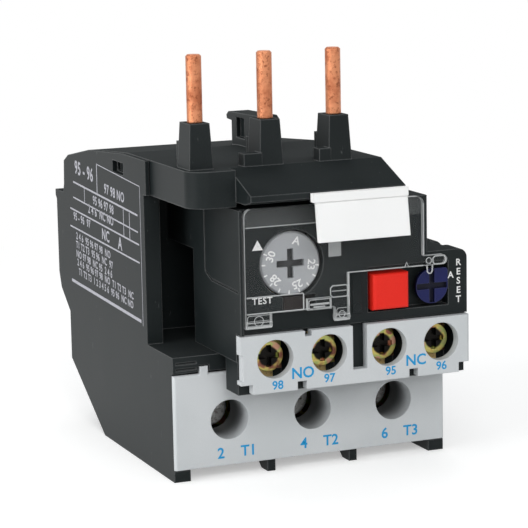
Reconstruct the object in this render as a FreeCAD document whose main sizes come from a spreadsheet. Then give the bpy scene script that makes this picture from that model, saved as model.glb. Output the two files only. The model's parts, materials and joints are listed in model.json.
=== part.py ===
import FreeCAD, Part
import math
import os
import Sketcher
from collections import namedtuple
from types import SimpleNamespace

# Thermal overload relay, three phases, plugged under a contactor by three copper pins.
# Millimetres. Inside part.py: x runs from the left side face to the right, y from the front plane of the
# load terminal cover to the back, z up from the feet. Each piece's Placement then carries it to the part's
# own frame, whose origin is the middle of the footprint, on the surface that the feet stand on.

SIZES = [
    # housing
    ("width", 45.0, "overall width over the side faces"),
    ("side_wall", 2.6, "thickness of the two side walls"),
    ("shell_wall", 1.6, "thickness of floors, roofs and inner walls"),
    ("foot_rise", 1.8, "height of the floor above the feet"),
    ("foot_length", 32.9, "flat foot of a side wall, front to back"),
    ("foot_front", 0.4, "set-back of a foot from the front plane"),
    ("heel_depth", 49.4, "depth of the lower back"),
    ("heel_rise", 9.8, "height where the sloping underside meets the lower back"),
    ("heel_top", 17.8, "height where the back starts to step out"),
    ("back_depth", 54.8, "depth of the back face"),
    ("back_low", 23.8, "height of the back face's lower edge"),
    ("back_high", 36.2, "height of the back face's upper edge"),
    ("nub_reach", 0.6, "how far the catch on the back stands out"),
    ("shelf_top", 37.8, "top of the low right-hand shoulder"),
    ("shoulder_depth", 50.2, "depth of the top's rounded back edge"),
    ("shoulder_top", 44.4, "height of the top's rounded back edge"),
    ("ledge_top", 19.2, "top of the ledge that carries the trip module"),
    ("wall_front", 11.0, "set-back of the side walls above the ledge"),
    ("bulkhead", 21.0, "front face of the wall before the heater chambers"),
    ("partition", 1.3, "thickness of the walls between phases"),
    ("partition_top", 33.0, "height of the walls between phases"),
    ("attic_wall", 0.8, "right wall of the room under the deck"),
    ("snap_back", 25.1, "back of the snap window in the left side wall"),
    ("snap_length", 5.2, "length of that snap window"),
    ("snap_low", 44.2, "lower edge of that snap window"),
    ("snap_height", 1.9, "height of that snap window"),
    ("rib_length", 1.1, "length of the upright rib at the side wall's front edge"),
    ("foot_run", 5.0, "length of the two middle feet"),
    # phases
    ("phase_left", 8.94, "first load terminal from the left side face"),
    ("phase_pitch", 13.65, "from one load terminal to the next"),
    ("load_height", 8.92, "height of the load terminal screws"),
    ("wire_width", 7.2, "width of a wire entry in the floor"),
    ("wire_depth", 4.8, "length of a wire entry, front to back"),
    ("wire_front", 13.0, "set-back of the wire entries"),
    # deck and towers
    ("deck_side", 0.8, "set-in of the deck from the left side face"),
    ("deck_right", 32.2, "right edge of the deck from the left side face"),
    ("deck_lead", 5.0, "how far the deck stands ahead of the front plane"),
    ("deck_back", 36.8, "depth of the deck's back edge"),
    ("deck_level", 20.0, "depth where the deck starts to fall"),
    ("deck_fall", 1.3, "fall of the deck to its back edge"),
    ("deck_top", 47.7, "height of the deck"),
    ("deck_under", 42.3, "height of the deck's lower rim"),
    ("corner_lead", 7.6, "how far the rounded corner block stands ahead"),
    ("corner_round", 3.0, "radius of that corner"),
    ("wedge_left", 7.7, "left end of the sloping front"),
    ("lip_lead", 13.2, "how far the lip stands ahead of the front plane"),
    ("lip_top", 44.5, "height of the lip's upper edge"),
    ("lip_height", 0.9, "height of the lip"),
    ("wedge_under", 43.0, "height of the sloping front's underside"),
    ("tower_width", 3.8, "width of a pin tower at its foot"),
    ("tower_depth", 4.9, "depth of a pin tower at its foot"),
    ("tower_top", 54.4, "height of the pin towers"),
    ("tower_taper", 3.0, "draft of a pin tower, degrees"),
    ("tower_step", 3.8, "height of the step behind a tower"),
    ("block_height", 1.9, "height of the keying blocks beside the towers"),
    ("hook_left", 19.3, "left face of the latch hook"),
    ("hook_width", 3.4, "width of the latch hook"),
    ("hook_front", 11.5, "depth of the hook's front"),
    ("hook_back", 22.7, "depth of the hook's shank"),
    ("hook_top", 53.0, "height of the hook"),
    ("barb", 2.2, "how far the hook's barb stands out"),
    # contactor pins
    ("pin_left", 3.45, "first pin from the left side face"),
    ("pin_pitch", 11.03, "from one pin to the next"),
    ("pin_inset", 2.3, "set-back of the pins from the deck's front edge"),
    ("pin_diameter", 2.3, "diameter of a pin"),
    ("pin_top", 64.3, "height of the pins' ends"),
    ("pin_bevel", 0.25, "bevel on a pin's end"),
    ("pin_flats", 8, "flats on a pin's root inside its tower"),
    ("pin_play", 0.05, "clearance round a pin in its tower"),
    ("drop_shift", 5.24, "from a pin to the strap that drops to its heater"),
    ("strap", 0.8, "thickness of the copper straps"),
    ("strap_width", 2.6, "width of the copper straps"),
    # heaters and load terminals
    ("strip_thick", 0.8, "thickness of a bimetal strip"),
    ("strip_width", 5.0, "width of a bimetal strip"),
    ("strip_front", 33.0, "depth of a bimetal strip's front edge"),
    ("strip_foot", 6.2, "height of a bimetal strip's foot"),
    ("strip_top", 35.2, "height of a bimetal strip's free end"),
    ("winding_gap", 0.5, "insulation between strip and heater winding"),
    ("winding_wire", 0.9, "thickness of the heater ribbon"),
    ("winding_pitch", 2.6, "from one turn of the heater to the next"),
    ("winding_turns", 6, "turns of a heater"),
    ("winding_foot", 12.0, "height of the heater's first turn"),
    ("bar_thick", 1.2, "thickness of the load bars"),
    ("bar_width", 5.0, "width of the load bars"),
    ("cage_width", 8.8, "width of a load terminal cage"),
    ("cage_front", 11.0, "depth of a cage's front"),
    ("cage_depth", 9.4, "length of a cage, front to back"),
    ("cage_height", 7.0, "height of a cage"),
    ("cage_wall", 1.0, "side walls of a cage"),
    ("cage_thread_wall", 1.5, "threaded front wall of a cage"),
    ("load_screw_head", 5.6, "head diameter of a load screw"),
    ("load_screw_shank", 4.0, "shank diameter of a load screw"),
    ("load_head_height", 1.8, "head height of a load screw"),
    # load terminal cover
    ("cover_thick", 2.0, "thickness of the load terminal cover"),
    ("cover_height", 14.6, "height of the load terminal cover"),
    ("cover_edge", 0.5, "thickness of the cover where it laps the side walls"),
    ("cover_seam", 0.1, "gap between the cover and the housing behind it"),
    ("nib_left", 4.3, "left side of the cover's catch"),
    ("nib_width", 1.3, "width of the cover's catch"),
    ("nib_rise", 1.1, "how far the catch stands above the cover"),
    ("cover_round", 0.45, "rounding of the cover's outer edges"),
    ("access_radius", 3.05, "radius of the load screw access holes"),
    ("access_length", 7.5, "length of the access tubes from the front plane"),
    ("access_wall", 1.1, "wall of the access tubes"),
    # trip module housing
    ("module_left", 7.4, "left face of the trip module"),
    ("module_lead", 7.9, "how far the module's front stands ahead"),
    ("module_under", 14.2, "underside of the module's terminal block"),
    ("module_block", 2.3, "back of the hanging block, ahead of the front plane"),
    ("module_step", 33.3, "height of the reset shoulder"),
    ("module_skirt", 33.7, "lower edge of the module's tall back part"),
    ("shoulder_round", 1.4, "rounding of the reset shoulder's corner"),
    ("vent_left", 43.0, "left side of the notch in the reset shoulder's top"),
    ("vent_lead", 3.8, "how far that notch stands ahead"),
    ("vent_length", 4.1, "length of that notch"),
    ("seam_back", 4.6, "depth of the seam on the module's left face"),
    ("seam_low", 30.6, "height where that seam turns to the front"),
    ("seam_width", 0.35, "width and depth of that seam"),
    ("module_right", 38.3, "right face of the module's tall part"),
    ("module_top", 41.9, "top of the module"),
    ("module_mid", 9.8, "depth of the module's low part"),
    ("module_back", 20.7, "depth of the module's back"),
    ("module_inner", 12.0, "left face of the module's narrow back part"),
    ("cheek", 0.5, "thickness of the module's left cheek"),
    ("cheek_lead", 1.2, "how far the cheek stands ahead of the module's front"),
    ("panel_low", 23.45, "lower edge of the module's front panel"),
    # auxiliary terminals
    ("aux_lead", 8.8, "how far the auxiliary cover stands ahead"),
    ("aux_thick", 1.6, "thickness of the auxiliary cover"),
    ("aux_low", 14.46, "lower edge of the auxiliary cover"),
    ("aux_high", 23.25, "upper edge of the auxiliary cover"),
    ("aux_step", 1.5, "height of the cover's lower corner steps"),
    ("aux_step_run", 1.9, "width of the cover's lower corner steps"),
    ("aux_first", 12.9, "first auxiliary terminal from the left side face"),
    ("aux_pitch", 8.7, "from one terminal to the other of its pair"),
    ("aux_pair", 18.55, "from the first pair to the second"),
    ("aux_height", 19.48, "height of the auxiliary screws"),
    ("aux_radius", 2.9, "radius of the auxiliary access holes"),
    ("aux_slot_left", 25.45, "left side of the slot between the two pairs"),
    ("aux_slot_width", 2.35, "width of that slot"),
    ("aux_slot_low", 16.6, "lower end of that slot"),
    ("aux_room", 6.6, "width of an auxiliary terminal chamber"),
    ("aux_head", 4.6, "head diameter of an auxiliary screw"),
    ("aux_shank", 2.6, "shank diameter of an auxiliary screw"),
    ("aux_strip", 0.8, "thickness of the auxiliary conductors"),
    ("aux_strip_width", 3.0, "width of the auxiliary conductors"),
    ("aux_rise", 7.6, "depth where the conductors turn up"),
    ("aux_contact_top", 31.0, "height of the conductors' contact ends"),
    # setting dial
    ("dial_x", 16.1, "dial axis from the left side face"),
    ("dial_height", 33.3, "height of the dial axis"),
    ("dial_radius", 4.8, "radius of the dial"),
    ("dial_lead", -0.4, "how far the dial's face stands ahead of the module's front"),
    ("dial_thick", 1.5, "thickness of the dial"),
    ("dial_slot", 1.0, "width of the dial's cross slot"),
    ("dial_slot_length", 4.4, "length of the dial's cross slot"),
    ("shaft_radius", 1.5, "radius of the dial's shaft"),
    ("shaft_end", 6.0, "depth of the shaft's end"),
    ("cam_low", 2.2, "smallest radius of the setting cam"),
    ("cam_rise", 1.6, "rise of the setting cam over the dial's travel"),
    ("cam_travel", 270.0, "travel of the dial, degrees"),
    ("cam_front", 3.0, "depth of the cam's front face"),
    ("cam_thick", 2.0, "thickness of the setting cam"),
    # buttons
    ("stop_left", 28.8, "left side of the stop button"),
    ("stop_width", 5.95, "width of the stop button"),
    ("stop_low", 25.25, "lower side of the stop button"),
    ("stop_height", 5.45, "height of the stop button"),
    ("stop_lead", 1.1, "how far the stop button stands ahead of the module's front"),
    ("button_play", 0.2, "clearance round the buttons"),
    ("flange", 0.9, "overhang of the buttons' retaining flanges"),
    ("flange_thick", 1.0, "thickness of the retaining flanges"),
    ("reset_x", 39.0, "reset knob axis from the left side face"),
    ("reset_height", 28.0, "height of the reset knob axis"),
    ("reset_radius", 2.65, "radius of the reset knob"),
    ("reset_lead", 0.2, "how far the reset knob stands ahead of the module's front"),
    ("well_left", 28.4, "left side of the well round the stop button and the reset knob"),
    ("well_right", 41.8, "right side of that well"),
    ("well_low", 24.9, "lower side of that well"),
    ("well_high", 31.7, "upper side of that well"),
    ("well_depth", 2.0, "depth of that well"),
    ("baffle", 0.9, "thickness of the wall behind the well"),
    ("reset_travel", 1.0, "travel of the reset knob"),
    ("stop_travel", 2.0, "travel of the stop button"),
    ("knob_foot", 0.8, "back of the reset knob, behind the module's front"),
    ("stem_radius", 1.1, "radius of the buttons' stems"),
    ("crosswall", 4.0, "front face of the wall behind the button springs"),
    ("crosswall_thick", 1.2, "thickness of that wall"),
    ("test_left", 14.8, "left side of the test tab"),
    ("test_width", 3.4, "width of the test tab"),
    ("test_low", 26.4, "lower side of the test tab"),
    ("test_height", 1.9, "height of the test tab"),
    ("test_travel", 1.5, "travel of the test tab"),
    # springs
    ("spring_radius", 1.7, "mean radius of the button springs"),
    ("spring_wire", 0.4, "wire diameter of the button springs"),
    ("spring_turns", 5, "turns of the button springs"),
    # window cover and marker plate
    ("window_left", 8.2, "left edge of the clear window"),
    ("window_right", 37.15, "right edge of the clear window"),
    ("window_lead", 1.4, "how far the window's front stands ahead of the module's front"),
    ("window_thick", 1.0, "thickness of the window"),
    ("window_top", 42.0, "top edge of the window"),
    ("window_step", 31.4, "lower edge of the window's right part"),
    ("window_inner", 24.8, "right edge of the window's low part"),
    ("window_band", 26.5, "lower edge of the window's low part"),
    ("hinge_height", 24.95, "height of the window's hinge axis"),
    ("knuckle_radius", 0.65, "radius of the window's hinge knuckles"),
    ("ear_width", 4.1, "width of the window's left hinge ear"),
    ("ear_short", 2.3, "width of the window's right hinge ear"),
    ("tab_reach", 3.8, "how far the window's lifting tab stands out"),
    ("tab_height", 1.5, "height of the lifting tab"),
    ("lift_left", 17.7, "left side of the window's finger lift"),
    ("lift_width", 3.8, "width of the finger lift"),
    ("lift_height", 1.7, "height of the finger lift"),
    ("lift_lead", 0.8, "how far the finger lift stands ahead of the window"),
    ("plate_left", 17.45, "left edge of the marker plate"),
    ("plate_width", 14.6, "width of the marker plate"),
    ("plate_low", 37.3, "lower edge of the marker plate"),
    ("plate_high", 44.4, "upper edge of the marker plate"),
    ("plate_lead", 13.5, "how far the plate's back stands ahead at its top"),
    ("plate_lean", 0.9, "how much further its lower edge stands ahead"),
    ("plate_thick", 0.7, "thickness of the marker plate"),
    ("plate_rim", 1.3, "height of the plate's rim"),
    ("rim_overhang", 0.6, "how far the rim stands out at its left end"),
    # trip gear
    ("slider_low", 33.3, "underside of the trip slider"),
    ("slider_height", 2.2, "height of the trip slider"),
    ("slider_front", 30.8, "depth of the slider's front edge"),
    ("slider_depth", 10.0, "length of the slider, front to back"),
    ("slider_step", 2.2, "length of the slider's short front part"),
    ("slider_notch", 1.6, "width of the slider's notches"),
    ("slider_play", 0.3, "gap between the moving inner pieces"),
    ("slider_travel", 1.5, "travel of the trip slider"),
    ("pivot_x", 34.5, "trip lever pivot from the left side face"),
    ("pivot_y", 17.6, "depth of the trip lever pivot"),
    ("pivot_radius", 0.9, "radius of the trip lever pivot pin"),
    ("lever_thick", 1.4, "thickness of the trip lever's arms"),
    ("lever_reach", 13.0, "length of the lever's back arm"),
    ("lever_throw", 10.0, "length of the lever's side arm"),
    ("carrier_low", 26.2, "underside of the contact carrier"),
    ("carrier_height", 3.0, "height of the contact carrier"),
    ("carrier_web", 3.0, "width of the contact carrier's spine"),
    ("carrier_arm", 1.8, "depth of the carrier's arms"),
    ("bridge_thick", 0.8, "thickness of the contact bridges"),
    ("bridge_height", 2.0, "height of the contact bridges"),
    ("contact_gap", 0.1, "gap drawn between closed contacts"),
    ("lever2_x", 28.0, "compensation lever pivot from the left side face"),
    ("lever2_z", 36.0, "height of the compensation lever pivot"),
    ("lever2_tip", 0.6, "radius of the compensation lever's tip"),
]

sheet_name = "Sizes"
doc = FreeCAD.newDocument("thermal_overload_relay")
sheet = doc.addObject("Spreadsheet::Sheet", sheet_name)


class Size:
    """A number worked out from the sheet, with the expression that keeps it tied to the cells."""

    def __init__(self, value, text):
        self.value = float(value)
        self.text = text

    def __add__(self, other):
        return Size(self.value + value_of(other), f"({self.text} + {text_of(other)})")

    def __radd__(self, other):
        return Size(value_of(other) + self.value, f"({text_of(other)} + {self.text})")

    def __sub__(self, other):
        return Size(self.value - value_of(other), f"({self.text} - {text_of(other)})")

    def __rsub__(self, other):
        return Size(value_of(other) - self.value, f"({text_of(other)} - {self.text})")

    def __mul__(self, other):
        return Size(self.value * value_of(other), f"({self.text} * {text_of(other)})")

    __rmul__ = __mul__

    def __truediv__(self, other):
        return Size(self.value / value_of(other), f"({self.text} / {text_of(other)})")

    def __neg__(self):
        return Size(-self.value, f"(0 - {self.text})")


def value_of(number):
    return number.value if isinstance(number, Size) else float(number)


def text_of(number):
    return number.text if isinstance(number, Size) else repr(float(number))


def fill_sheet():
    """Writes the driving sizes into the sheet and returns them by name."""
    sizes = SimpleNamespace()
    for row, (alias, value, note) in enumerate(SIZES, 1):
        sheet.set(f"A{row}", note)
        sheet.set(f"B{row}", str(value))
        sheet.setAlias(f"B{row}", alias)
        setattr(sizes, alias, Size(value, f"{sheet_name}.{alias}"))
    doc.recompute()
    return sizes


d = fill_sheet()
nodes = []

# ---------------------------------------------------------------- drawing helpers

Disc = namedtuple("Disc", "u v radius")
ROLES = {"XY": "XY_Plane", "XZ": "XZ_Plane", "YZ": "YZ_Plane"}


def bind(thing, path, number):
    """Ties a property or a constraint to the sheet."""
    thing.setExpression(path, text_of(number))


def hold(sketch, kind, line, end, number):
    """Fixes one coordinate of a sketch point, from the sheet where it depends on it."""
    place = sketch.addConstraint(Sketcher.Constraint(kind, -1, 1, line, end, value_of(number)))
    if isinstance(number, Size):
        bind(sketch, f"Constraints[{place}]", number)


def draw_outline(sketch, corners):
    """Draws a closed outline through the corners and fixes each corner."""
    first = sketch.GeometryCount
    points = [FreeCAD.Vector(value_of(u), value_of(v), 0) for u, v in corners]
    for start, end in zip(points, points[1:] + points[:1]):
        sketch.addGeometry(Part.LineSegment(start, end))
    for i, (u, v) in enumerate(corners):
        before = first + (i - 1) % len(corners)
        sketch.addConstraint(Sketcher.Constraint("Coincident", before, 2, first + i, 1))
        hold(sketch, "DistanceX", first + i, 1, u)
        hold(sketch, "DistanceY", first + i, 1, v)


def draw_disc(sketch, disc):
    """Draws a circle and fixes its centre and radius."""
    middle = FreeCAD.Vector(value_of(disc.u), value_of(disc.v), 0)
    ring = Part.Circle(middle, FreeCAD.Vector(0, 0, 1), value_of(disc.radius))
    index = sketch.addGeometry(ring)
    place = sketch.addConstraint(Sketcher.Constraint("Radius", index, value_of(disc.radius)))
    if isinstance(disc.radius, Size):
        bind(sketch, f"Constraints[{place}]", disc.radius)
    hold(sketch, "DistanceX", index, 3, disc.u)
    hold(sketch, "DistanceY", index, 3, disc.v)


def rect(u_low, v_low, u_high, v_high):
    return [(u_low, v_low), (u_high, v_low), (u_high, v_high), (u_low, v_high)]


def datum(body, role):
    return next(item for item in body.Origin.OriginFeatures if item.Role == role)


def sketch_on(body, plane, at, shapes):
    """Adds a sketch on a plane of the body's own origin, moved along that plane's axis to `at`."""
    sketch = body.newObject("Sketcher::SketchObject", "outline")
    sketch.AttachmentSupport = (datum(body, ROLES[plane]), "")
    sketch.MapMode = "FlatFace"
    bind(sketch, "AttachmentOffset.Base.z", 0 - at if plane == "XZ" else at)
    for shape in shapes:
        if isinstance(shape, Disc):
            draw_disc(sketch, shape)
        else:
            draw_outline(sketch, shape)
    return sketch


def new_body(label):
    body = doc.addObject("PartDesign::Body", label)
    body.Label = label
    return body


def pad(body, plane, at, length, *shapes, taper=0.0):
    """Pads outlines from `at` by `length`, towards the growing side of the axis that the plane faces."""
    feature = body.newObject("PartDesign::Pad", "pad")
    feature.Profile = sketch_on(body, plane, at, shapes)
    bind(feature, "Length", length)
    feature.Reversed = plane == "XZ"
    if value_of(taper):
        bind(feature, "TaperAngle", taper)
    return feature


def pocket(body, plane, at, length, *shapes):
    """Cuts outlines from `at` by `length`, towards the growing side of the axis that the plane faces."""
    doc.recompute()
    before = body.Shape.Volume
    feature = body.newObject("PartDesign::Pocket", "pocket")
    feature.Profile = sketch_on(body, plane, at, shapes)
    bind(feature, "Length", length)
    feature.Reversed = plane != "XZ"
    doc.recompute()
    if body.Shape.Volume > before - 1e-6:
        raise RuntimeError(f"{body.Label}: a pocket at {value_of(at)} cuts nothing")
    return feature


def spun(body, outline, cut=False):
    """Turns an outline of (radius, depth) corners about the body's own y axis."""
    kind = "PartDesign::Groove" if cut else "PartDesign::Revolution"
    feature = body.newObject(kind, "turned")
    sketch = sketch_on(body, "XY", 0.0, [outline])
    feature.Profile = sketch
    feature.ReferenceAxis = (sketch, ["V_Axis"])
    feature.Angle = 360.0
    return feature


def repeat(body, features, role, pitch, count):
    """Repeats features along an axis of the body's own origin."""
    pattern = body.newObject("PartDesign::LinearPattern", "row")
    pattern.Originals = features
    pattern.Direction = (datum(body, role), [""])
    bind(pattern, "Length", pitch * (count - 1))
    pattern.Occurrences = count
    body.Tip = pattern
    doc.recompute()
    return pattern


def along(axis, **place):
    """Picks straight edges that run along an axis through the named coordinates."""

    def picked(edge):
        if edge.Curve.TypeId != "Part::GeomLine":
            return False
        way = edge.tangentAt(edge.FirstParameter)
        if abs(abs(getattr(way, axis)) - 1.0) > 1e-3:
            return False
        middle = edge.CenterOfMass
        return all(abs(getattr(middle, a) - value_of(v)) < 0.05 for a, v in place.items())

    return picked


def dress(body, kind, field, radius, picks):
    """Adds a fillet or a chamfer on the picked edges of what the body holds so far."""
    doc.recompute()
    base = body.Tip
    names = [f"Edge{i}" for i, e in enumerate(base.Shape.Edges, 1) if any(p(e) for p in picks)]
    if not names:
        raise RuntimeError(f"{body.Label}: no edge to dress")
    feature = body.newObject(f"PartDesign::{kind}", kind.lower())
    feature.Base = (base, names)
    bind(feature, field, radius)
    doc.recompute()
    return feature


def round_edges(body, radius, *picks):
    return dress(body, "Fillet", "Radius", radius, picks)


def bevel_edges(body, size, *picks):
    return dress(body, "Chamfer", "Size", size, picks)


def box(name, low, high):
    """A Part box between two corners."""
    piece = doc.addObject("Part::Box", name)
    for side, a, b in zip(("Length", "Width", "Height"), low, high):
        bind(piece, side, b - a)
    for axis, a in zip("xyz", low):
        bind(piece, f"Placement.Base.{axis}", a)
    return piece


AXIS_TURN = {
    "x": FreeCAD.Rotation(FreeCAD.Vector(0, 1, 0), 90),
    "y": FreeCAD.Rotation(FreeCAD.Vector(1, 0, 0), -90),
    "z": FreeCAD.Rotation(),
}


def cylinder(name, axis, foot, radius, length):
    """A Part cylinder that grows along an axis from its foot."""
    piece = doc.addObject("Part::Cylinder", name)
    piece.Placement = FreeCAD.Placement(FreeCAD.Vector(), AXIS_TURN[axis])
    bind(piece, "Radius", radius)
    bind(piece, "Height", length)
    for place, a in zip("xyz", foot):
        bind(piece, f"Placement.Base.{place}", a)
    return piece


def joined(label, pieces):
    piece = doc.addObject("Part::MultiFuse", label)
    piece.Shapes = pieces
    piece.Label = label
    return piece


def less(label, base, tool):
    piece = doc.addObject("Part::Cut", label)
    piece.Base = base
    piece.Tool = tool
    piece.Label = label
    return piece


flange_lead = d.module_lead - d.well_depth - d.baffle - d.slider_play
cheek_front = d.module_lead + d.cheek_lead
dial_front = d.module_lead + d.dial_lead
stop_front = d.module_lead + d.stop_lead
reset_front = d.module_lead + d.reset_lead
knob_back = d.module_lead - d.knob_foot
window_front = d.module_lead + d.window_lead
aux_sink = 1.0
carrier_left = d.aux_first + d.aux_pitch - 1.8
bridge_face = d.aux_rise + d.contact_gap
carrier_travel = d.slider_travel * (d.lever_throw / d.lever_reach)
open_face = d.aux_rise - d.aux_strip - d.bridge_thick - d.contact_gap - carrier_travel
middle_x = 0 - d.width / 2
plate_front = d.plate_lead + d.plate_lean + d.plate_thick
middle_y = (plate_front - d.back_depth - d.nub_reach) / 2


def keep(piece, x=0.0, y=0.0, z=0.0):
    """Places a finished piece in the part's frame and lists it for export."""
    bind(piece, "Placement.Base.x", middle_x + x)
    bind(piece, "Placement.Base.y", middle_y + y)
    bind(piece, "Placement.Base.z", z)
    nodes.append(piece)
    return piece


def phase_x(index):
    return d.phase_left + d.phase_pitch * index


def pin_x(index):
    return d.pin_left + d.pin_pitch * index


def aux_x(index):
    """Terminals from the left: two of the normally open pair, two of the normally closed pair."""
    pair, side = divmod(index, 2)
    return d.aux_first + d.aux_pair * pair + d.aux_pitch * side


# ---------------------------------------------------------------- housing

floor_top = d.foot_rise + d.shell_wall
cover_top = d.foot_rise + d.cover_height
wall_face = d.cover_edge + d.cover_seam
right_inner = d.width - d.side_wall
nub_depth = d.back_depth + d.nub_reach


def chamber_sides():
    """Left and right side of each of the three heater chambers."""
    half = d.partition / 2
    middles = [phase_x(0) + d.phase_pitch / 2, phase_x(1) + d.phase_pitch / 2]
    lefts = [d.side_wall] + [m + half for m in middles]
    rights = [m - half for m in middles] + [right_inner]
    return list(zip(lefts, rights))


def base_housing():
    """The main moulding: two side walls, floor, back, bulkhead and the walls between the phases."""
    body = new_body("base_housing")
    lower = [
        (d.foot_front, 0.0),
        (d.foot_length, 0.0),
        (d.heel_depth, d.heel_rise),
        (d.heel_depth, d.heel_top),
        (d.back_depth - 1.0, d.back_low - 2.6),
        (d.back_depth, d.back_low),
        (d.back_depth, d.back_high),
        (nub_depth, d.back_high + 0.6),
        (nub_depth, d.shelf_top),
        (d.wall_front, d.shelf_top),
        (d.wall_front, d.ledge_top),
        (0.1, d.ledge_top),
        (0.1, cover_top + 0.3),
        (wall_face, cover_top + 0.3),
        (wall_face, d.foot_rise - 0.1),
        (d.foot_front, d.foot_rise - 0.1),
    ]
    pad(body, "YZ", 0.0, d.width, lower)
    upper = [
        (d.wall_front, d.shelf_top - 1.0),
        (nub_depth - 4.0, d.shelf_top - 1.0),
        (d.shoulder_depth + 0.3, d.shoulder_top - 5.1),
        (d.shoulder_depth, d.shoulder_top - 1.2),
        (d.shoulder_depth - 2.4, d.shoulder_top),
        (d.deck_back, d.deck_top - d.deck_fall),
        (d.deck_level, d.deck_top - 0.1),
        (d.wall_front, d.deck_top - 0.1),
    ]
    pad(body, "YZ", 0.0, d.deck_right, upper)
    # the deck's rim sits on this rebate
    rebate = rect(d.wall_front - 1.0, d.deck_under, d.deck_back, d.deck_top + 1.0)
    pocket(body, "YZ", d.deck_side, d.width, rebate)
    # the load cover stands between the side walls and laps their front edges
    seat = rect(d.wall_front - 12.0, d.foot_rise - 0.2, d.cover_thick + d.cover_seam * 2, cover_top + 0.3)
    pocket(body, "YZ", d.side_wall, right_inner - d.side_wall, seat)
    # side walls stand lower than the floor
    under = rect(d.foot_front - 1.0, -1.0, d.heel_depth - 5.0, d.foot_rise)
    pocket(body, "YZ", d.side_wall, d.width - d.side_wall * 2, under)
    chambers(body)
    front_recess(body)
    wire_entries(body)
    middle_feet(body)
    side_details(body)
    return keep(body)


def side_details(body):
    """The rib and the snap window of the left wall, and the ledge's grooves and catch notch."""
    rib = rect(d.wall_front - d.rib_length, d.deck_under, d.wall_front + 0.2, d.deck_top - 0.1)
    pad(body, "YZ", 0.0, d.deck_side - d.cover_seam, rib)
    snap = rect(d.snap_back - d.snap_length, d.snap_low, d.snap_back, d.snap_low + d.snap_height)
    pocket(body, "YZ", -0.5, d.deck_side + 0.5, snap)
    for low in (0.6, 1.5):
        groove = rect(0.5, cover_top + low + 0.1, d.nib_left - 0.5, cover_top + low + 0.45)
        pocket(body, "XZ", -0.5, 0.9, groove)
    side = d.cover_seam * 2
    nib_right = d.nib_left + d.nib_width
    notch = rect(d.nib_left - side, cover_top, nib_right + side, cover_top + d.nib_rise + side)
    pocket(body, "XZ", -0.5, 1.6, notch)


def chambers(body):
    """Hollows the three phase chambers, the slider's gallery above them and the room under the deck."""
    wall = d.shell_wall
    back = d.back_depth - wall
    chamber = [
        (d.cover_thick + 6.0, floor_top),
        (d.foot_length + 1.5, floor_top),
        (d.heel_depth - wall, d.heel_rise + 1.6),
        (d.heel_depth - wall, d.heel_top + 0.8),
        (back - 1.0, d.back_low - 1.6),
        (back, d.back_low + 0.4),
        (back, d.partition_top),
        (d.bulkhead + wall, d.partition_top),
        (d.bulkhead + wall, d.ledge_top - wall),
        (d.cover_thick + 6.0, d.ledge_top - wall),
    ]
    for left, right in chamber_sides():
        pocket(body, "YZ", left, right - left, chamber)
    mouth = rect(1.2, floor_top, d.cover_thick + 6.2, d.ledge_top - wall)
    pocket(body, "YZ", d.side_wall, right_inner - d.side_wall, mouth)
    gallery = rect(d.bulkhead + wall, d.partition_top - 0.1, d.shoulder_depth - wall, d.shelf_top - wall)
    pocket(body, "YZ", d.side_wall, right_inner - d.side_wall, gallery)
    attic = [
        (d.bulkhead + wall, d.shelf_top - wall - 0.1),
        (d.shoulder_depth - wall, d.shelf_top - wall - 0.1),
        (d.shoulder_depth - wall, d.shoulder_top - 2.6),
        (d.deck_back - 1.4, d.deck_under - 0.4),
        (d.deck_back - 1.4, d.deck_under + 1.0),
        (d.bulkhead + wall, d.deck_under + 1.0),
    ]
    pocket(body, "YZ", d.side_wall, d.deck_right - d.attic_wall - d.side_wall, attic)


def front_recess(body):
    """Opens the room between the side walls that the trip module's back stands in."""
    room = rect(d.wall_front - 1.0, d.ledge_top, d.bulkhead, d.shelf_top - d.shell_wall)
    pocket(body, "YZ", d.side_wall, right_inner - d.side_wall, room)
    tall = rect(d.wall_front - 1.0, d.shelf_top - d.shell_wall - 0.1, d.bulkhead, d.deck_under + 1.0)
    pocket(body, "YZ", d.side_wall, d.module_right + 0.5 - d.side_wall, tall)
    # window in the bulkhead for the trip lever's back arm
    slot = rect(d.pivot_x - 1.6, d.slider_low - 1.0, d.pivot_x + 3.0, d.slider_low + d.slider_height + 0.6)
    pocket(body, "XZ", d.bulkhead - 0.5, d.shell_wall + 1.0, slot)


def wire_entries(body):
    """Cuts the openings in the floor where the load wires go in."""
    half = d.wire_width / 2
    for index in range(3):
        x = phase_x(index)
        hole = rect(x - half, d.wire_front, x + half, d.wire_front + d.wire_depth)
        pocket(body, "XY", 0.0, floor_top + 0.5, hole)


def middle_feet(body):
    """Two short ramps under the walls between the phases."""
    ramp = [
        (d.foot_front, 0.0),
        (d.foot_front + d.foot_run / 2, 0.0),
        (d.foot_front + d.foot_run, d.foot_rise + 0.05),
        (d.foot_front, d.foot_rise + 0.05),
    ]
    for index in range(2):
        middle = phase_x(index) + d.phase_pitch / 2
        pad(body, "YZ", middle - d.partition / 2, d.partition, ramp)
    doc.recompute()


# ---------------------------------------------------------------- deck, towers and hook


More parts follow.
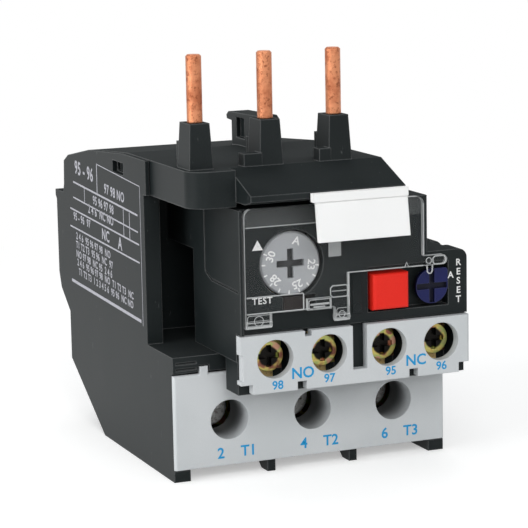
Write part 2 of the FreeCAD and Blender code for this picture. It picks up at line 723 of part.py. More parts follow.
def top_cover():
    """The deck that closes the housing, with its sloping front, pin towers and latch hook."""
    body = new_body("top_cover")
    deck = [
        (0 - d.deck_lead, d.deck_under),
        (0 - d.deck_lead, d.deck_top),
        (d.deck_level, d.deck_top),
        (d.deck_back, d.deck_top - d.deck_fall),
        (d.deck_back, d.deck_under),
    ]
    pad(body, "YZ", d.deck_side, d.deck_right - d.deck_side, deck)
    corner = rect(d.deck_side, 0 - d.corner_lead, d.wedge_left, 0 - d.deck_lead)
    pad(body, "XY", d.deck_under, d.deck_top - d.deck_under, corner)
    round_edges(body, d.corner_round, along("z", x=d.deck_side, y=0 - d.corner_lead))
    slope = [
        (0 - d.deck_lead, d.wedge_under),
        (0 - d.deck_lead, d.deck_top),
        (0 - d.lip_lead, d.lip_top),
        (0 - d.lip_lead, d.lip_top - d.lip_height),
        (0 - d.lip_lead + 2.2, d.wedge_under),
    ]
    pad(body, "YZ", d.wedge_left, d.deck_right - d.wedge_left, slope)
    hollow_deck(body)
    towers(body)
    hook(body)
    pin_holes(body)
    return keep(body)


def hollow_deck(body):
    """Cuts the room for the copper straps from below."""
    roof = d.deck_top - d.deck_fall - d.shell_wall
    room = rect(d.deck_side + 1.0, 0 - d.deck_lead + 0.8, d.deck_right - d.attic_wall, d.deck_back - 1.4)
    pocket(body, "XY", d.deck_under - 1.0, roof - d.deck_under + 1.0, room)
    snap_front = d.snap_back - d.snap_length
    snap = rect(snap_front + 0.2, d.snap_low + 0.2, d.snap_back - 0.2, d.snap_low + d.snap_height - 0.2)
    pocket(body, "YZ", d.deck_side - 0.5, 1.1, snap)


def towers(body):
    """Three tapered towers, each with a step behind it and a keying block beside it."""
    half = d.tower_width / 2
    front = 0 - d.deck_lead
    x = pin_x(0)
    shaft = rect(x - half, front, x + half, front + d.tower_depth)
    tall = pad(body, "XY", d.deck_top - 0.3, d.tower_top - d.deck_top + 0.3, shaft, taper=0 - d.tower_taper)
    step = rect(x - half + 0.3, front + d.tower_depth - 0.6, x + half - 0.3, front + d.tower_depth + 1.0)
    low = pad(body, "XY", d.deck_top - 0.3, d.tower_step + 0.3, step)
    doc.recompute()
    repeat(body, [tall, low], "X_Axis", d.pin_pitch, 3)
    for index, run in ((1, 2.9), (2, 1.9)):
        x = pin_x(index)
        key = rect(x - half - run + 0.4, front, x - half + 0.4, front + 2.1)
        pad(body, "XY", d.deck_top - 0.3, d.block_height + 0.3, key)
    doc.recompute()


def hook(body):
    """The latch hook that catches the contactor, its barb pointing back."""
    top = d.hook_top
    profile = [
        (d.hook_front, d.deck_top - 0.5),
        (d.hook_front, top - 0.4),
        (d.hook_front + 0.8, top),
        (d.hook_back + d.barb - 0.9, top - 0.3),
        (d.hook_back + d.barb, top - 0.9),
        (d.hook_back + d.barb - 0.2, top - 1.5),
        (d.hook_back, top - 1.6),
        (d.hook_back, d.deck_top - 1.2),
    ]
    pad(body, "YZ", d.hook_left, d.hook_width, profile)
    recess = rect(d.hook_back - 5.4, d.deck_top + 1.2, d.hook_back - 1.9, top - 0.9)
    pocket(body, "YZ", d.hook_left - 0.5, 1.3, recess)


def pin_holes(body):
    """Bores for the three pins, through the towers and the roof."""
    y = 0 - d.deck_lead + d.pin_inset
    radius = d.pin_diameter / 2 + d.pin_play
    for index in range(3):
        pocket(body, "XY", d.deck_under, d.tower_top - d.deck_under + 1.0, Disc(pin_x(index), y, radius))


# ---------------------------------------------------------------- current path


def phase_pin(index):
    """A contactor pin with the strap that runs back from it and drops to its heater."""
    radius = d.pin_diameter / 2
    pin_y = 0 - d.deck_lead + d.pin_inset
    foot = d.deck_under + 1.2
    rod_low = d.tower_top + d.pin_play
    root = doc.addObject("Part::Prism", f"root_{index + 1}")
    bind(root, "Polygon", d.pin_flats)
    bind(root, "Circumradius", radius - d.pin_play)
    bind(root, "Height", rod_low + 0.5 - foot)
    bind(root, "Placement.Base.z", foot)
    rod = cylinder(f"rod_{index + 1}", "z", (0.0, 0.0, rod_low), radius, d.pin_top - rod_low)
    tip = doc.addObject("Part::Chamfer", f"bevelled_rod_{index + 1}")
    tip.Base = rod
    doc.recompute()
    rims = [i for i, e in enumerate(rod.Shape.Edges, 1) if e.CenterOfMass.z > d.pin_top.value - 0.1]
    tip.Edges = [(i, d.pin_bevel.value, d.pin_bevel.value) for i in rims if rod.Shape.Edges[i - 1].Closed]
    half = d.strap_width / 2
    drop_y = d.bulkhead + d.shell_wall + 4.4 - pin_y
    run = box(
        f"run_{index + 1}",
        (0 - half, 0 - radius, foot),
        (half, drop_y + d.strap_width, foot + d.strap),
    )
    over = box(
        f"over_{index + 1}",
        (0.0, drop_y, foot),
        (d.drop_shift + d.strap / 2, drop_y + d.strap_width, foot + d.strap),
    )
    low = d.winding_foot + d.winding_pitch * d.winding_turns + d.winding_wire / 2 + d.strap + 0.05
    drop = box(
        f"drop_{index + 1}",
        (d.drop_shift - d.strap / 2, drop_y, low),
        (d.drop_shift + d.strap / 2, drop_y + d.strap_width, foot + d.strap),
    )
    turn_x = phase_x(index) - pin_x(index)
    toe = box(
        f"toe_{index + 1}",
        (d.drop_shift - d.strap / 2, drop_y, low - d.strap),
        (turn_x + half, drop_y + d.strap_width, low),
    )
    lead_end = d.strip_front - d.winding_gap - pin_y
    lead = box(
        f"lead_{index + 1}",
        (turn_x - half, drop_y, low - d.strap),
        (turn_x + half, lead_end, low),
    )
    piece = joined(f"phase_pin_{index + 1}", [tip, root, run, over, drop, toe, lead])
    return keep(piece, x=pin_x(index), y=pin_y)


def bimetal_strip(index):
    """A bimetal strip, welded at its foot and free at its top."""
    size = (d.strip_thick, d.strip_width, d.strip_top - d.strip_foot)
    piece = box(f"bimetal_strip_{index + 1}", (0.0, 0.0, 0.0), size)
    piece.Label = f"bimetal_strip_{index + 1}"
    return keep(piece, x=phase_x(index) - d.strip_thick / 2, y=d.strip_front, z=d.strip_foot)


def heater_winding(index):
    """The ribbon heater, wound round the strip in square turns."""
    gap = d.winding_gap.value + d.winding_wire.value / 2
    half_x = d.strip_thick.value / 2 + gap
    low_y = 0.0 - gap
    high_y = d.strip_width.value + gap
    ring = [(-half_x, low_y), (half_x, low_y), (half_x, high_y), (-half_x, high_y)]
    turns = int(d.winding_turns.value)
    rise = d.winding_pitch.value / 4
    points = [FreeCAD.Vector(*ring[i % 4], rise * i) for i in range(turns * 4 + 1)]
    path = Part.Wire([Part.LineSegment(a, b).toShape() for a, b in zip(points, points[1:])])
    half = d.winding_wire.value / 2
    first = (points[1] - points[0]).normalize()
    side = FreeCAD.Vector(0, 0, 1)
    out = first.cross(side)
    signs = ((-1, -1), (1, -1), (1, 1), (-1, 1))
    corners = [points[0] + out * (half * s) + side * (half * t) for s, t in signs]
    face = Part.Wire([Part.LineSegment(a, b).toShape() for a, b in zip(corners, corners[1:] + corners[:1])])
    ribbon = path.makePipeShell([face], True, False, 1)
    piece = doc.addObject("Part::Feature", f"heater_winding_{index + 1}")
    piece.Label = f"heater_winding_{index + 1}"
    piece.Shape = ribbon
    return keep(piece, x=phase_x(index), y=d.strip_front, z=d.winding_foot)


def load_bar(index):
    """The bar from the strip's foot along the floor to the load terminal."""
    body = new_body(f"load_bar_{index + 1}")
    thick = d.bar_thick
    foot = floor_top
    nose = d.wire_front + d.wire_depth + 0.1
    profile = [
        (nose, foot),
        (d.foot_length + 1.4, foot),
        (d.foot_length + 1.4, foot + thick),
        (nose + thick, foot + thick),
        (nose + thick, d.load_height + 3.2),
        (nose, d.load_height + 3.2),
    ]
    half = d.bar_width / 2
    pad(body, "YZ", 0 - half, d.bar_width, profile)
    end = d.strip_front + d.strip_width
    tab = [
        (d.strip_front - 2.0, foot),
        (d.foot_length + 1.4, foot),
        (end, d.strip_foot - 0.3),
        (end, d.strip_foot + 4.0),
        (d.strip_front, d.strip_foot + 4.0),
        (d.strip_front - 2.0, foot + 2.4),
    ]
    pad(body, "YZ", d.strip_thick / 2, d.bar_thick, tab)
    return keep(body, x=phase_x(index))


def load_cage(index):
    """The screw cage of a load terminal: a square collar round the bar and the wire."""
    body = new_body(f"load_cage_{index + 1}")
    half = d.cage_width / 2
    low = d.load_height - d.cage_height / 2
    front = d.cage_front
    outer = rect(0 - half, front, half, front + d.cage_depth)
    pad(body, "XY", low, d.cage_height, outer)
    inner = rect(
        0 - half + d.cage_wall,
        front + d.cage_thread_wall,
        half - d.cage_wall,
        front + d.cage_depth - d.cage_wall,
    )
    pocket(body, "XY", low - 0.5, d.cage_height + 1.0, inner)
    thread = Disc(0.0, d.load_height, d.load_screw_shank / 2 + 0.05)
    pocket(body, "XZ", front - 0.5, d.cage_thread_wall + 1.0, thread)
    return keep(body, x=phase_x(index))


def screw(label, head, head_height, shank, length, slot):
    """A cross-slotted screw along y, its head at the front."""
    body = new_body(label)
    outline = [
        (0.0, 0.0),
        (head / 2, 0.0),
        (head / 2, head_height),
        (shank / 2, head_height),
        (shank / 2, head_height + length),
        (0.0, head_height + length),
    ]
    spun(body, outline)
    reach = head / 2 * 0.72
    half = slot / 2
    for cross in (rect(0 - reach, 0 - half, reach, half), rect(0 - half, 0 - reach, half, reach)):
        pocket(body, "XZ", -0.5, head_height * 0.6 + 0.5, cross)
    return body


def screw_group(label, places, **sizes):
    """Equal screws that share a node, as separate solids."""
    first = screw(f"{label}_pattern", **sizes)
    copies = []
    for index, (x, y, z) in enumerate(places):
        link = doc.addObject("Part::Feature", f"{label}_{index + 1}")
        doc.recompute()
        link.Shape = first.Shape
        bind(link, "Placement.Base.x", x)
        bind(link, "Placement.Base.y", y)
        bind(link, "Placement.Base.z", z)
        copies.append(link)
    piece = doc.addObject("Part::Compound", label)
    piece.Links = copies
    piece.Label = label
    return keep(piece)


def load_screws():
    start = d.cage_front - d.load_head_height - 0.6
    places = [(phase_x(i), start, d.load_height) for i in range(3)]
    return screw_group(
        "load_terminal_screws",
        places,
        head=d.load_screw_head,
        head_height=d.load_head_height,
        shank=d.load_screw_shank,
        length=d.cage_thread_wall + 1.0,
        slot=0.9,
    )


def load_terminal_cover():
    """The grey cover over the load terminals, with a tube round each screw."""
    body = new_body("load_terminal_cover")
    low = d.foot_rise + 0.1
    inset = d.side_wall + d.cover_seam
    pad(body, "XZ", 0.0, d.cover_edge, rect(0.0, low, d.width, cover_top))
    round_edges(
        body,
        d.cover_round,
        along("z", x=0.0, y=0.0),
        along("z", x=d.width, y=0.0),
        along("x", y=0.0, z=cover_top),
    )
    core = rect(inset, low, d.width - inset, cover_top - 0.5)
    pad(body, "XZ", d.cover_edge - 0.2, d.cover_thick - d.cover_edge + 0.2, core)
    nib = rect(d.nib_left, cover_top - 1.0, d.nib_left + d.nib_width, cover_top + d.nib_rise)
    pad(body, "XZ", 0.0, 0.8, nib)
    inner = inset + 0.1
    pad(body, "XZ", d.cover_thick - 0.1, 4.0, rect(inner, cover_top - 1.9, d.width - inner, cover_top - 0.6))
    tubes = [Disc(phase_x(i), d.load_height, d.access_radius + d.access_wall) for i in range(3)]
    pad(body, "XZ", d.cover_thick - 0.1, d.access_length - d.cover_thick + 0.1, *tubes)
    holes = [Disc(phase_x(i), d.load_height, d.access_radius) for i in range(3)]
    pocket(body, "XZ", -1.0, d.access_length + 2.0, *holes)
    return keep(body)


# ---------------------------------------------------------------- trip module


def trip_module_housing():
    """The black housing of the trip gear, hanging over the load cover, open to the back."""
    body = new_body("trip_module_housing")
    front = 0 - d.module_lead
    right = d.width
    low_front = rect(front, d.ledge_top, d.module_mid, d.module_step)
    pad(body, "YZ", d.module_left, right - d.module_left, low_front)
    middle = rect(front, d.module_step - 0.2, d.module_mid, d.module_skirt + 0.2)
    pad(body, "YZ", d.module_left, d.module_right - d.module_left, middle)
    tall = rect(front, d.module_skirt, d.module_back, d.module_top)
    pad(body, "YZ", d.module_left, d.module_right - d.module_left, tall)
    round_edges(body, d.shoulder_round, along("y", x=right, z=d.module_step))
    rear = rect(d.module_mid - 0.5, d.ledge_top, d.module_back, d.module_step)
    pad(body, "YZ", d.module_inner, right_inner - d.module_inner - 0.4, rear)
    hanging = rect(0 - d.aux_lead + d.aux_thick + 0.1, d.module_under, 0 - d.module_block, d.panel_low)
    pad(body, "YZ", d.module_left + 0.2, right - d.module_left - 0.4, hanging)
    cheek = rect(0 - cheek_front, d.panel_low, front + 0.2, d.module_top)
    pad(body, "YZ", d.module_left, d.cheek, cheek)
    aux_recess = rect(front - 1.0, d.ledge_top - 0.1, 0 - d.aux_lead + d.aux_thick + 0.1, d.panel_low)
    pocket(body, "YZ", d.module_left - 1.0, right + 2.0, aux_recess)
    hollow_module(body)
    module_front(body)
    aux_chambers(body)
    module_side(body)
    return keep(body)


def module_side(body):
    """The seam down the left face, where the module's front shell begins, and the shoulder's notch."""
    back = d.seam_back
    low = d.seam_low
    gap = d.seam_width
    front = 0 - d.module_lead
    seam = [
        (back, d.module_top + 0.5),
        (back, low + 0.6),
        (back - 2.2, low - 0.3),
        (front - 0.5, low - 0.6),
        (front - 0.5, low - 0.6 - gap),
        (back - 2.1, low - 0.3 - gap),
        (back + gap, low + 0.4),
        (back + gap, d.module_top + 0.5),
    ]
    pocket(body, "YZ", d.module_left - 0.5, gap + 0.5, seam)
    vent = rect(0 - d.vent_lead, d.module_step - 0.9, 0 - d.vent_lead + d.vent_length, d.module_step + 0.5)
    pocket(body, "YZ", d.vent_left, d.width - d.vent_left + 0.5, vent)


def hollow_module(body):
    """Cuts the mechanism's room from the back and leaves the wall behind the button springs."""
    wall = d.shell_wall
    inner_front = 0 - d.module_lead + wall
    tall = rect(d.module_left + wall, d.module_step - wall, d.module_right - wall, d.module_top - wall)
    pocket(body, "XZ", inner_front, d.module_back - inner_front + 1.0, tall)
    low = rect(d.module_left + wall, d.stop_low - d.button_play, d.width - wall, d.module_step - wall + 0.1)
    pocket(body, "XZ", inner_front, d.module_mid - wall - inner_front, low)
    rear = d.crosswall + d.crosswall_thick
    back_right = aux_x(3) + 0.25
    back = rect(d.module_inner + wall, d.ledge_top + wall, back_right, d.module_step - wall + 0.1)
    pocket(body, "XZ", rear, d.module_back - d.crosswall, back)
    contact_room = rect(d.module_left + wall, d.ledge_top + wall, d.width - wall, d.module_step - wall)
    pocket(body, "XZ", rear, d.module_mid - wall - rear, contact_room)
    divider = rect(d.aux_slot_left, d.panel_low + 0.5, d.width - wall + 0.1, d.module_step - wall + 0.1)
    pad(body, "XZ", d.crosswall, d.crosswall_thick, divider)
    under_roof = d.module_step - wall + 0.1
    baffle = rect(d.well_left - 1.2, d.panel_low + 0.5, d.width - wall + 0.1, under_roof)
    pad(body, "XZ", 0 - d.module_lead + d.well_depth, d.baffle, baffle)
    rail = rect(carrier_left + 0.4, d.module_mid, carrier_left + d.carrier_web - 0.4, d.module_back - 1.2)
    pad(body, "XY", d.ledge_top + wall - 0.1, d.carrier_low - d.slider_play - d.ledge_top - wall + 0.1, rail)
    boss = Disc(d.lever2_x, d.lever2_z, 2.0)
    pad(body, "XZ", inner_front - 0.1, 1.6, boss)
    pocket(body, "XZ", inner_front, 2.0, Disc(d.lever2_x, d.lever2_z, d.pivot_radius))
    doc.recompute()


def module_front(body):
    """The dial's bore, the button openings and the well round the reset knob."""
    front = 0 - d.module_lead
    pocket(body, "XZ", front - 1.0, 4.0, Disc(d.dial_x, d.dial_height, d.dial_radius + 0.3))
    play = d.button_play
    stop = rect(
        d.stop_left - play,
        d.stop_low - play,
        d.stop_left + d.stop_width + play,
        d.stop_low + d.stop_height + play,
    )
    pocket(body, "XZ", front - 1.0, 4.0, stop)
    well = rect(d.well_left, d.well_low, d.well_right, d.well_high)
    pocket(body, "XZ", front - 0.5, d.well_depth + 0.5, well)
    stem = Disc(d.reset_x, d.reset_height, d.stem_radius + play)
    pocket(body, "XZ", front - 0.5, d.well_depth + d.baffle + 1.0, stem)
    test = rect(
        d.test_left - play,
        d.test_low - play,
        d.test_left + d.test_width + d.test_travel + play,
        d.test_low + d.test_height + play,
    )
    pocket(body, "XZ", front - 0.5, 4.0, test)
    bearing = Disc(d.dial_x, d.dial_height, d.shaft_radius + 2.0)
    bore = Disc(d.dial_x, d.dial_height, d.shaft_radius + 0.05)
    web = rect(d.module_left + 1.0, d.dial_height - 3.0, d.dial_x + 2.6, d.dial_height + 3.0)
    pad(body, "XZ", -1.5, 2.5, web)
    pocket(body, "XZ", -2.5, 4.5, bore)


def aux_chambers(body):
    """Four terminal chambers, open to the front and below."""
    half = d.aux_room / 2
    front = 0 - d.aux_lead + d.aux_thick
    top = d.aux_height + 3.3
    for index in range(4):
        x = aux_x(index)
        room = rect(x - half, front - 1.0, x + half, 0 - d.module_block - 0.8)
        pocket(body, "XY", d.module_under - 1.0, top - d.module_under + 1.0, room)
        strip_half = d.aux_strip_width / 2 + 0.2
        slot = rect(x - strip_half, top - 1.6, x + strip_half, top)
        pocket(body, "XZ", 0 - d.module_block - 1.5, d.crosswall + d.module_block + 6.0, slot)


def aux_terminal_cover():
    """The grey front of the auxiliary terminals, slotted between its two pairs."""
    body = new_body("aux_terminal_cover")
    left = d.module_left
    right = d.width
    step = d.aux_low + d.aux_step
    slot_right = d.aux_slot_left + d.aux_slot_width
    outline = [
        (left + d.aux_step_run, d.aux_low),
        (right - d.aux_step_run, d.aux_low),
        (right - d.aux_step_run, step),
        (right, step),
        (right, d.aux_high),
        (slot_right, d.aux_high),
        (slot_right, d.aux_slot_low),
        (d.aux_slot_left, d.aux_slot_low),
        (d.aux_slot_left, d.aux_high),
        (left, d.aux_high),
        (left, step),
        (left + d.aux_step_run, step),
    ]
    pad(body, "XZ", 0 - d.aux_lead, d.aux_thick, outline)
    top_notch = rect(aux_x(0) + 4.8, d.aux_high - 0.8, aux_x(0) + 5.9, d.aux_high + 0.5)
    pocket(body, "XZ", 0 - d.aux_lead - 0.5, d.aux_thick + 1.0, top_notch)
    for x in (aux_x(0) + 3.5, aux_x(2) + 3.3):
        notch = rect(x, d.aux_low - 1.0, x + 1.5, d.aux_low + 1.3)
        pocket(body, "XZ", 0 - d.aux_lead - 0.5, d.aux_thick + 1.0, notch)
    holes = [Disc(aux_x(i), d.aux_height, d.aux_radius) for i in range(4)]
    pocket(body, "XZ", 0 - d.aux_lead - 0.5, d.aux_thick + 1.0, *holes)
    round_edges(body, 0.5, along("z", x=right, y=0 - d.aux_lead))
    side_notch = rect(left - 0.5, step + 0.6, left + 0.35, d.aux_height + 1.0)
    pocket(body, "XZ", 0 - d.aux_lead - 0.5, d.aux_thick + 1.0, side_notch)
    return keep(body)


def aux_conductor(index, label):
    """The strip behind an auxiliary terminal, back under the panel and up to its contact."""
    body = new_body(label)
    thick = d.aux_strip
    front = 0 - d.module_block - 0.8 - thick - 0.1
    top = d.aux_height + 2.8
    profile = [
        (front, d.module_under + 1.2),
        (front + thick, d.module_under + 1.2),
        (front + thick, top - thick),
        (d.aux_rise, top - thick),
        (d.aux_rise, d.aux_contact_top),
        (d.aux_rise - thick, d.aux_contact_top),
        (d.aux_rise - thick, top),
        (front, top),
    ]
    half = d.aux_strip_width / 2
    pad(body, "YZ", 0 - half, d.aux_strip_width, profile)
    pocket(body, "XZ", front - 0.5, thick + 1.0, Disc(0.0, d.aux_height, d.aux_shank / 2 + 0.05))
    return keep(body, x=aux_x(index))


def clamp_plates():
    """The square washers under the auxiliary screws' heads, one node."""
    front = 0 - d.aux_lead + d.aux_thick + aux_sink + d.aux_head * 0.3 + 0.02
    plates = []
    for index in range(4):
        x = aux_x(index)
        low = (x - 2.6, front, d.aux_height - 2.3)
        plate = box(f"washer_{index + 1}", low, (x + 2.6, front + 0.75, d.aux_height + 2.3))
        start = (x, front - 0.5, d.aux_height)
        hole = cylinder(f"washer_hole_{index + 1}", "y", start, d.aux_shank / 2 + 0.05, 1.8)
        plates.append(less(f"clamp_plate_{index + 1}", plate, hole))
    group = doc.addObject("Part::Compound", "aux_clamp_plates")
    group.Links = plates
    group.Label = "aux_clamp_plates"
    return keep(group)


def aux_screws():
    front = 0 - d.aux_lead + d.aux_thick + aux_sink
    places = [(aux_x(i), front, d.aux_height) for i in range(4)]
    return screw_group(
        "aux_terminal_screws",
        places,
        head=d.aux_head,
        head_height=d.aux_head * 0.3,
        shank=d.aux_shank,
        length=1.5,
        slot=0.8,
    )


# ---------------------------------------------------------------- dial and its cam


def setting_dial():
    """The setting dial with its shaft, slotted for a screwdriver."""
    body = new_body("setting_dial")
    thick = d.dial_thick
    end = d.shaft_end + dial_front
    outline = [
        (0.0, 0.0),
        (d.dial_radius - 0.3, 0.0),
        (d.dial_radius, 0.3),
        (d.dial_radius, thick),
        (d.shaft_radius + 0.8, thick),
        (d.shaft_radius + 0.8, thick + 3.0),
        (d.shaft_radius, thick + 3.0),
        (d.shaft_radius, end),
        (0.0, end),
    ]
    spun(body, outline)
    long = d.dial_slot_length / 2
    half = d.dial_slot / 2
    for cross in (rect(0 - long, 0 - half, long, half), rect(0 - half, 0 - long, half, long)):
        pocket(body, "XZ", -0.5, 1.5, cross)
    return keep(body, x=d.dial_x, y=0 - dial_front, z=d.dial_height)


def dial_cam():
    """The snail cam on the dial's shaft: its radius grows evenly with the angle."""
    low = d.cam_low.value
    rise = d.cam_rise.value
    travel = math.radians(d.cam_travel.value)
    steps = 6
    points = []
    for i in range(steps * 2 + 1):
        angle = travel * i / (steps * 2)
        radius = low + rise * i / (steps * 2)
        points.append(FreeCAD.Vector(radius * math.sin(angle), 0, radius * math.cos(angle)))
    arcs = [Part.Arc(*points[2 * i:2 * i + 3]).toShape() for i in range(steps)]
    closing = [Part.LineSegment(points[-1], FreeCAD.Vector()), Part.LineSegment(FreeCAD.Vector(), points[0])]
    rim = Part.Wire(arcs + [line.toShape() for line in closing])
    hub = Part.makeCylinder(
        d.shaft_radius.value + 0.7, d.cam_thick.value, FreeCAD.Vector(), FreeCAD.Vector(0, 1, 0)
    )
    start = FreeCAD.Vector(0, -1, 0)
    depth = d.cam_thick.value + 2.0
    bore = Part.makeCylinder(d.shaft_radius.value + 0.02, depth, start, FreeCAD.Vector(0, 1, 0))
    disc = Part.Face(rim).extrude(FreeCAD.Vector(0, d.cam_thick.value, 0))
    piece = doc.addObject("Part::Feature", "dial_cam")
    piece.Label = "dial_cam"
    piece.Shape = disc.fuse(hub).cut(bore).removeSplitter()
    return keep(piece, x=d.dial_x, y=d.cam_front, z=d.dial_height)


# ---------------------------------------------------------------- buttons


def stop_button():
    """The red stop button with its flange and stem."""
    body = new_body("stop_button")
    face = rect(0.0, 0.0, d.stop_width, d.stop_height)
    reach = stop_front - flange_lead
    pad(body, "XZ", 0.0, reach + 0.2, face)
    round_edges(
        body,
        0.5,
        along("z", x=0.0, y=0.0),
        along("z", x=d.stop_width, y=0.0),
        along("x", y=0.0, z=0.0),
        along("x", y=0.0, z=d.stop_height),
    )
    rim = rect(0 - d.flange, 0.0, d.stop_width + d.flange, d.stop_height)
    pad(body, "XZ", reach, d.flange_thick, rim)
    stem = Disc(d.stop_width / 2, d.stop_height / 2, d.stem_radius)
    pad(body, "XZ", reach + d.flange_thick - 0.1, 4.0, stem)
    return keep(body, x=d.stop_left, y=0 - stop_front, z=d.stop_low)


def reset_plunger():
    """The plunger that carries the reset knob and returns on its spring."""
    body = new_body("reset_plunger")
    radius = d.stem_radius
    collar = knob_back - flange_lead
    outline = [
        (0.0, 0.0),
        (radius, 0.0),
        (radius, collar),
        (d.reset_radius + 0.2, collar),
        (d.reset_radius + 0.2, collar + d.flange_thick),
        (radius, collar + d.flange_thick),
        (radius, collar + d.flange_thick + 4.0),
        (0.0, collar + d.flange_thick + 4.0),
    ]
    spun(body, outline)
    return keep(body, x=d.reset_x, y=0 - knob_back, z=d.reset_height)


def reset_knob():
    """The blue knob, round with one square corner, cross-slotted."""
    body = new_body("reset_knob")
    radius = d.reset_radius
    length = reset_front - knob_back
    pad(body, "XZ", 0.0, length - 0.05, Disc(0.0, 0.0, radius))
    pad(body, "XZ", 0.0, length - 0.05, rect(0.0, 0.0, radius, radius))
    round_edges(body, 0.5, along("y", x=radius, z=radius))
    reach = radius * 0.96
    for cross in (rect(0 - reach, -0.45, reach, 0.45), rect(-0.45, 0 - reach, 0.45, reach)):
        pocket(body, "XZ", -0.5, 1.1, cross)
    return keep(body, x=d.reset_x, y=0 - reset_front, z=d.reset_height)


def test_slider():
    """The test tab behind the window, on the plate that guides it."""
    body = new_body("test_slider")
    front = 0 - d.module_lead + 0.2
    inner = 0 - d.module_lead + d.shell_wall + 0.2
    tab = rect(0.0, 0.0, d.test_width, d.test_height)
    pad(body, "XZ", front, inner - front + 0.2, tab)
    guide = rect(-2.4, 0.0, d.test_width + 2.6, d.test_height + 0.2)
    pad(body, "XZ", inner, 1.2, guide)
    return keep(body, x=d.test_left, z=d.test_low)


def button_spring(label, x, seat, z):
    """A compression spring along y, between a flange and the wall behind it."""
    front = seat + 0.2
    length = d.crosswall.value - front.value - 0.2
    turns = int(d.spring_turns.value)
    half = d.spring_wire.value / 2
    corners = 10
    rise = (length - half * 2) / (turns * corners)
    points = []
    for i in range(turns * corners + 1):
        angle = math.tau * i / corners
        across = FreeCAD.Vector(math.cos(angle), 0, math.sin(angle)) * d.spring_radius.value
        points.append(across + FreeCAD.Vector(0, half + rise * i, 0))
    coil = Part.Wire([Part.LineSegment(a, b).toShape() for a, b in zip(points, points[1:])])
    along_wire = (points[1] - points[0]).normalize()
    side = along_wire.cross(FreeCAD.Vector(0, 1, 0)).normalize()
    up = side.cross(along_wire)
    ring = [
        points[0] + side * (half * math.cos(math.tau * i / 6)) + up * (half * math.sin(math.tau * i / 6))
        for i in range(6)
    ]
    section = Part.Wire([Part.LineSegment(a, b).toShape() for a, b in zip(ring, ring[1:] + ring[:1])])
    solid = coil.makePipeShell([section], True, False, 1)
    piece = doc.addObject("Part::Feature", label)
    piece.Label = label
    piece.Shape = solid
    return keep(piece, x=x, y=front, z=z)


# ---------------------------------------------------------------- window and marker plate


def window_cover():
    """The clear window over the dial, hinged at its foot."""
    body = new_body("window_cover")
    left = d.window_left
    right = d.window_right
    ear = d.hinge_height
    inner = d.window_inner
    outline = [
        (left, ear),
        (left + d.ear_width, ear),
        (left + d.ear_width, d.window_band),
        (inner - d.ear_short, d.window_band),
        (inner - d.ear_short, ear),
        (inner, ear),
        (inner, d.window_step),
        (right + d.tab_reach, d.window_step),
        (right + d.tab_reach, d.window_step + d.tab_height),
        (right, d.window_step + d.tab_height),
        (right, d.window_top),
        (left, d.window_top),
    ]
    pad(body, "XZ", 0 - window_front, d.window_thick, outline)
    round_edges(body, 1.2, along("y", x=left, z=d.window_top), along("y", x=right, z=d.window_top))
    round_edges(
        body,
        0.7,
        along("y", x=right + d.tab_reach, z=d.window_step),
        along("y", x=right + d.tab_reach, z=d.window_step + d.tab_height),
    )
    lift = rect(d.lift_left, d.window_band, d.lift_left + d.lift_width, d.window_band + d.lift_height)
    pad(body, "XZ", 0 - window_front - d.lift_lead, d.lift_lead + 0.1, lift)
    axis = Disc(0 - window_front + d.window_thick / 2, d.hinge_height, d.knuckle_radius)
    pad(body, "YZ", left, d.ear_width, axis)
    pad(body, "YZ", inner - d.ear_short, d.ear_short, axis)
    plate_arms(body)
    return keep(body)


def plate_arms(body):
    """Two short arms that carry the marker plate ahead of the window."""
    for x in (d.plate_left + 2.5, d.plate_left + d.plate_width - 4.5):
        arm = rect(x, d.plate_low + 2.0, x + 2.0, d.plate_low + 2.7)
        pad(body, "XZ", 0 - d.plate_lead - 0.4, d.plate_lead - window_front + 0.5, arm)
    doc.recompute()


def marker_plate():
    """The white plate, leaning out at its foot, with a rim along its top."""
    body = new_body("marker_plate")
    top = 0 - d.plate_lead
    foot = top - d.plate_lean
    thick = d.plate_thick
    rim = d.plate_high - d.plate_rim
    profile = [
        (foot, d.plate_low),
        (top, rim),
        (top, d.plate_high),
        (top - thick - 0.3, d.plate_high),
        (top - thick - 0.3, rim),
        (top - thick, rim - 0.1),
        (foot - thick, d.plate_low),
    ]
    pad(body, "YZ", d.plate_left, d.plate_width, profile)
    end = rect(top - thick - 0.3, rim, top, d.plate_high)
    pad(body, "YZ", d.plate_left - d.rim_overhang, d.rim_overhang + 0.1, end)
    return keep(body)


# ---------------------------------------------------------------- trip gear


def trip_slider():
    """The moulded bar that all three strips push, notched round each strip."""
    body = new_body("trip_slider")
    start = d.side_wall + 1.2
    end = d.pivot_x - d.lever_thick / 2 - d.slider_play
    back = d.slider_front + d.slider_depth
    step = d.slider_front + d.slider_step
    outline = [
        (start, d.slider_front),
        (end, d.slider_front),
        (end, step),
        (phase_x(2) + 3.6, step),
        (phase_x(2) + 3.6, back),
        (start, back),
    ]
    pad(body, "XY", d.slider_low, d.slider_height, outline)
    for index in range(3):
        x = phase_x(index)
        notch = rect(
            x - d.slider_notch - d.strip_thick / 2 - d.slider_travel,
            d.strip_front - 0.4,
            x + d.strip_thick / 2 + d.slider_play,
            d.strip_front + d.strip_width + 0.4,
        )
        pocket(body, "XY", d.slider_low - 0.5, d.slider_height + 1.0, notch)
    return keep(body)


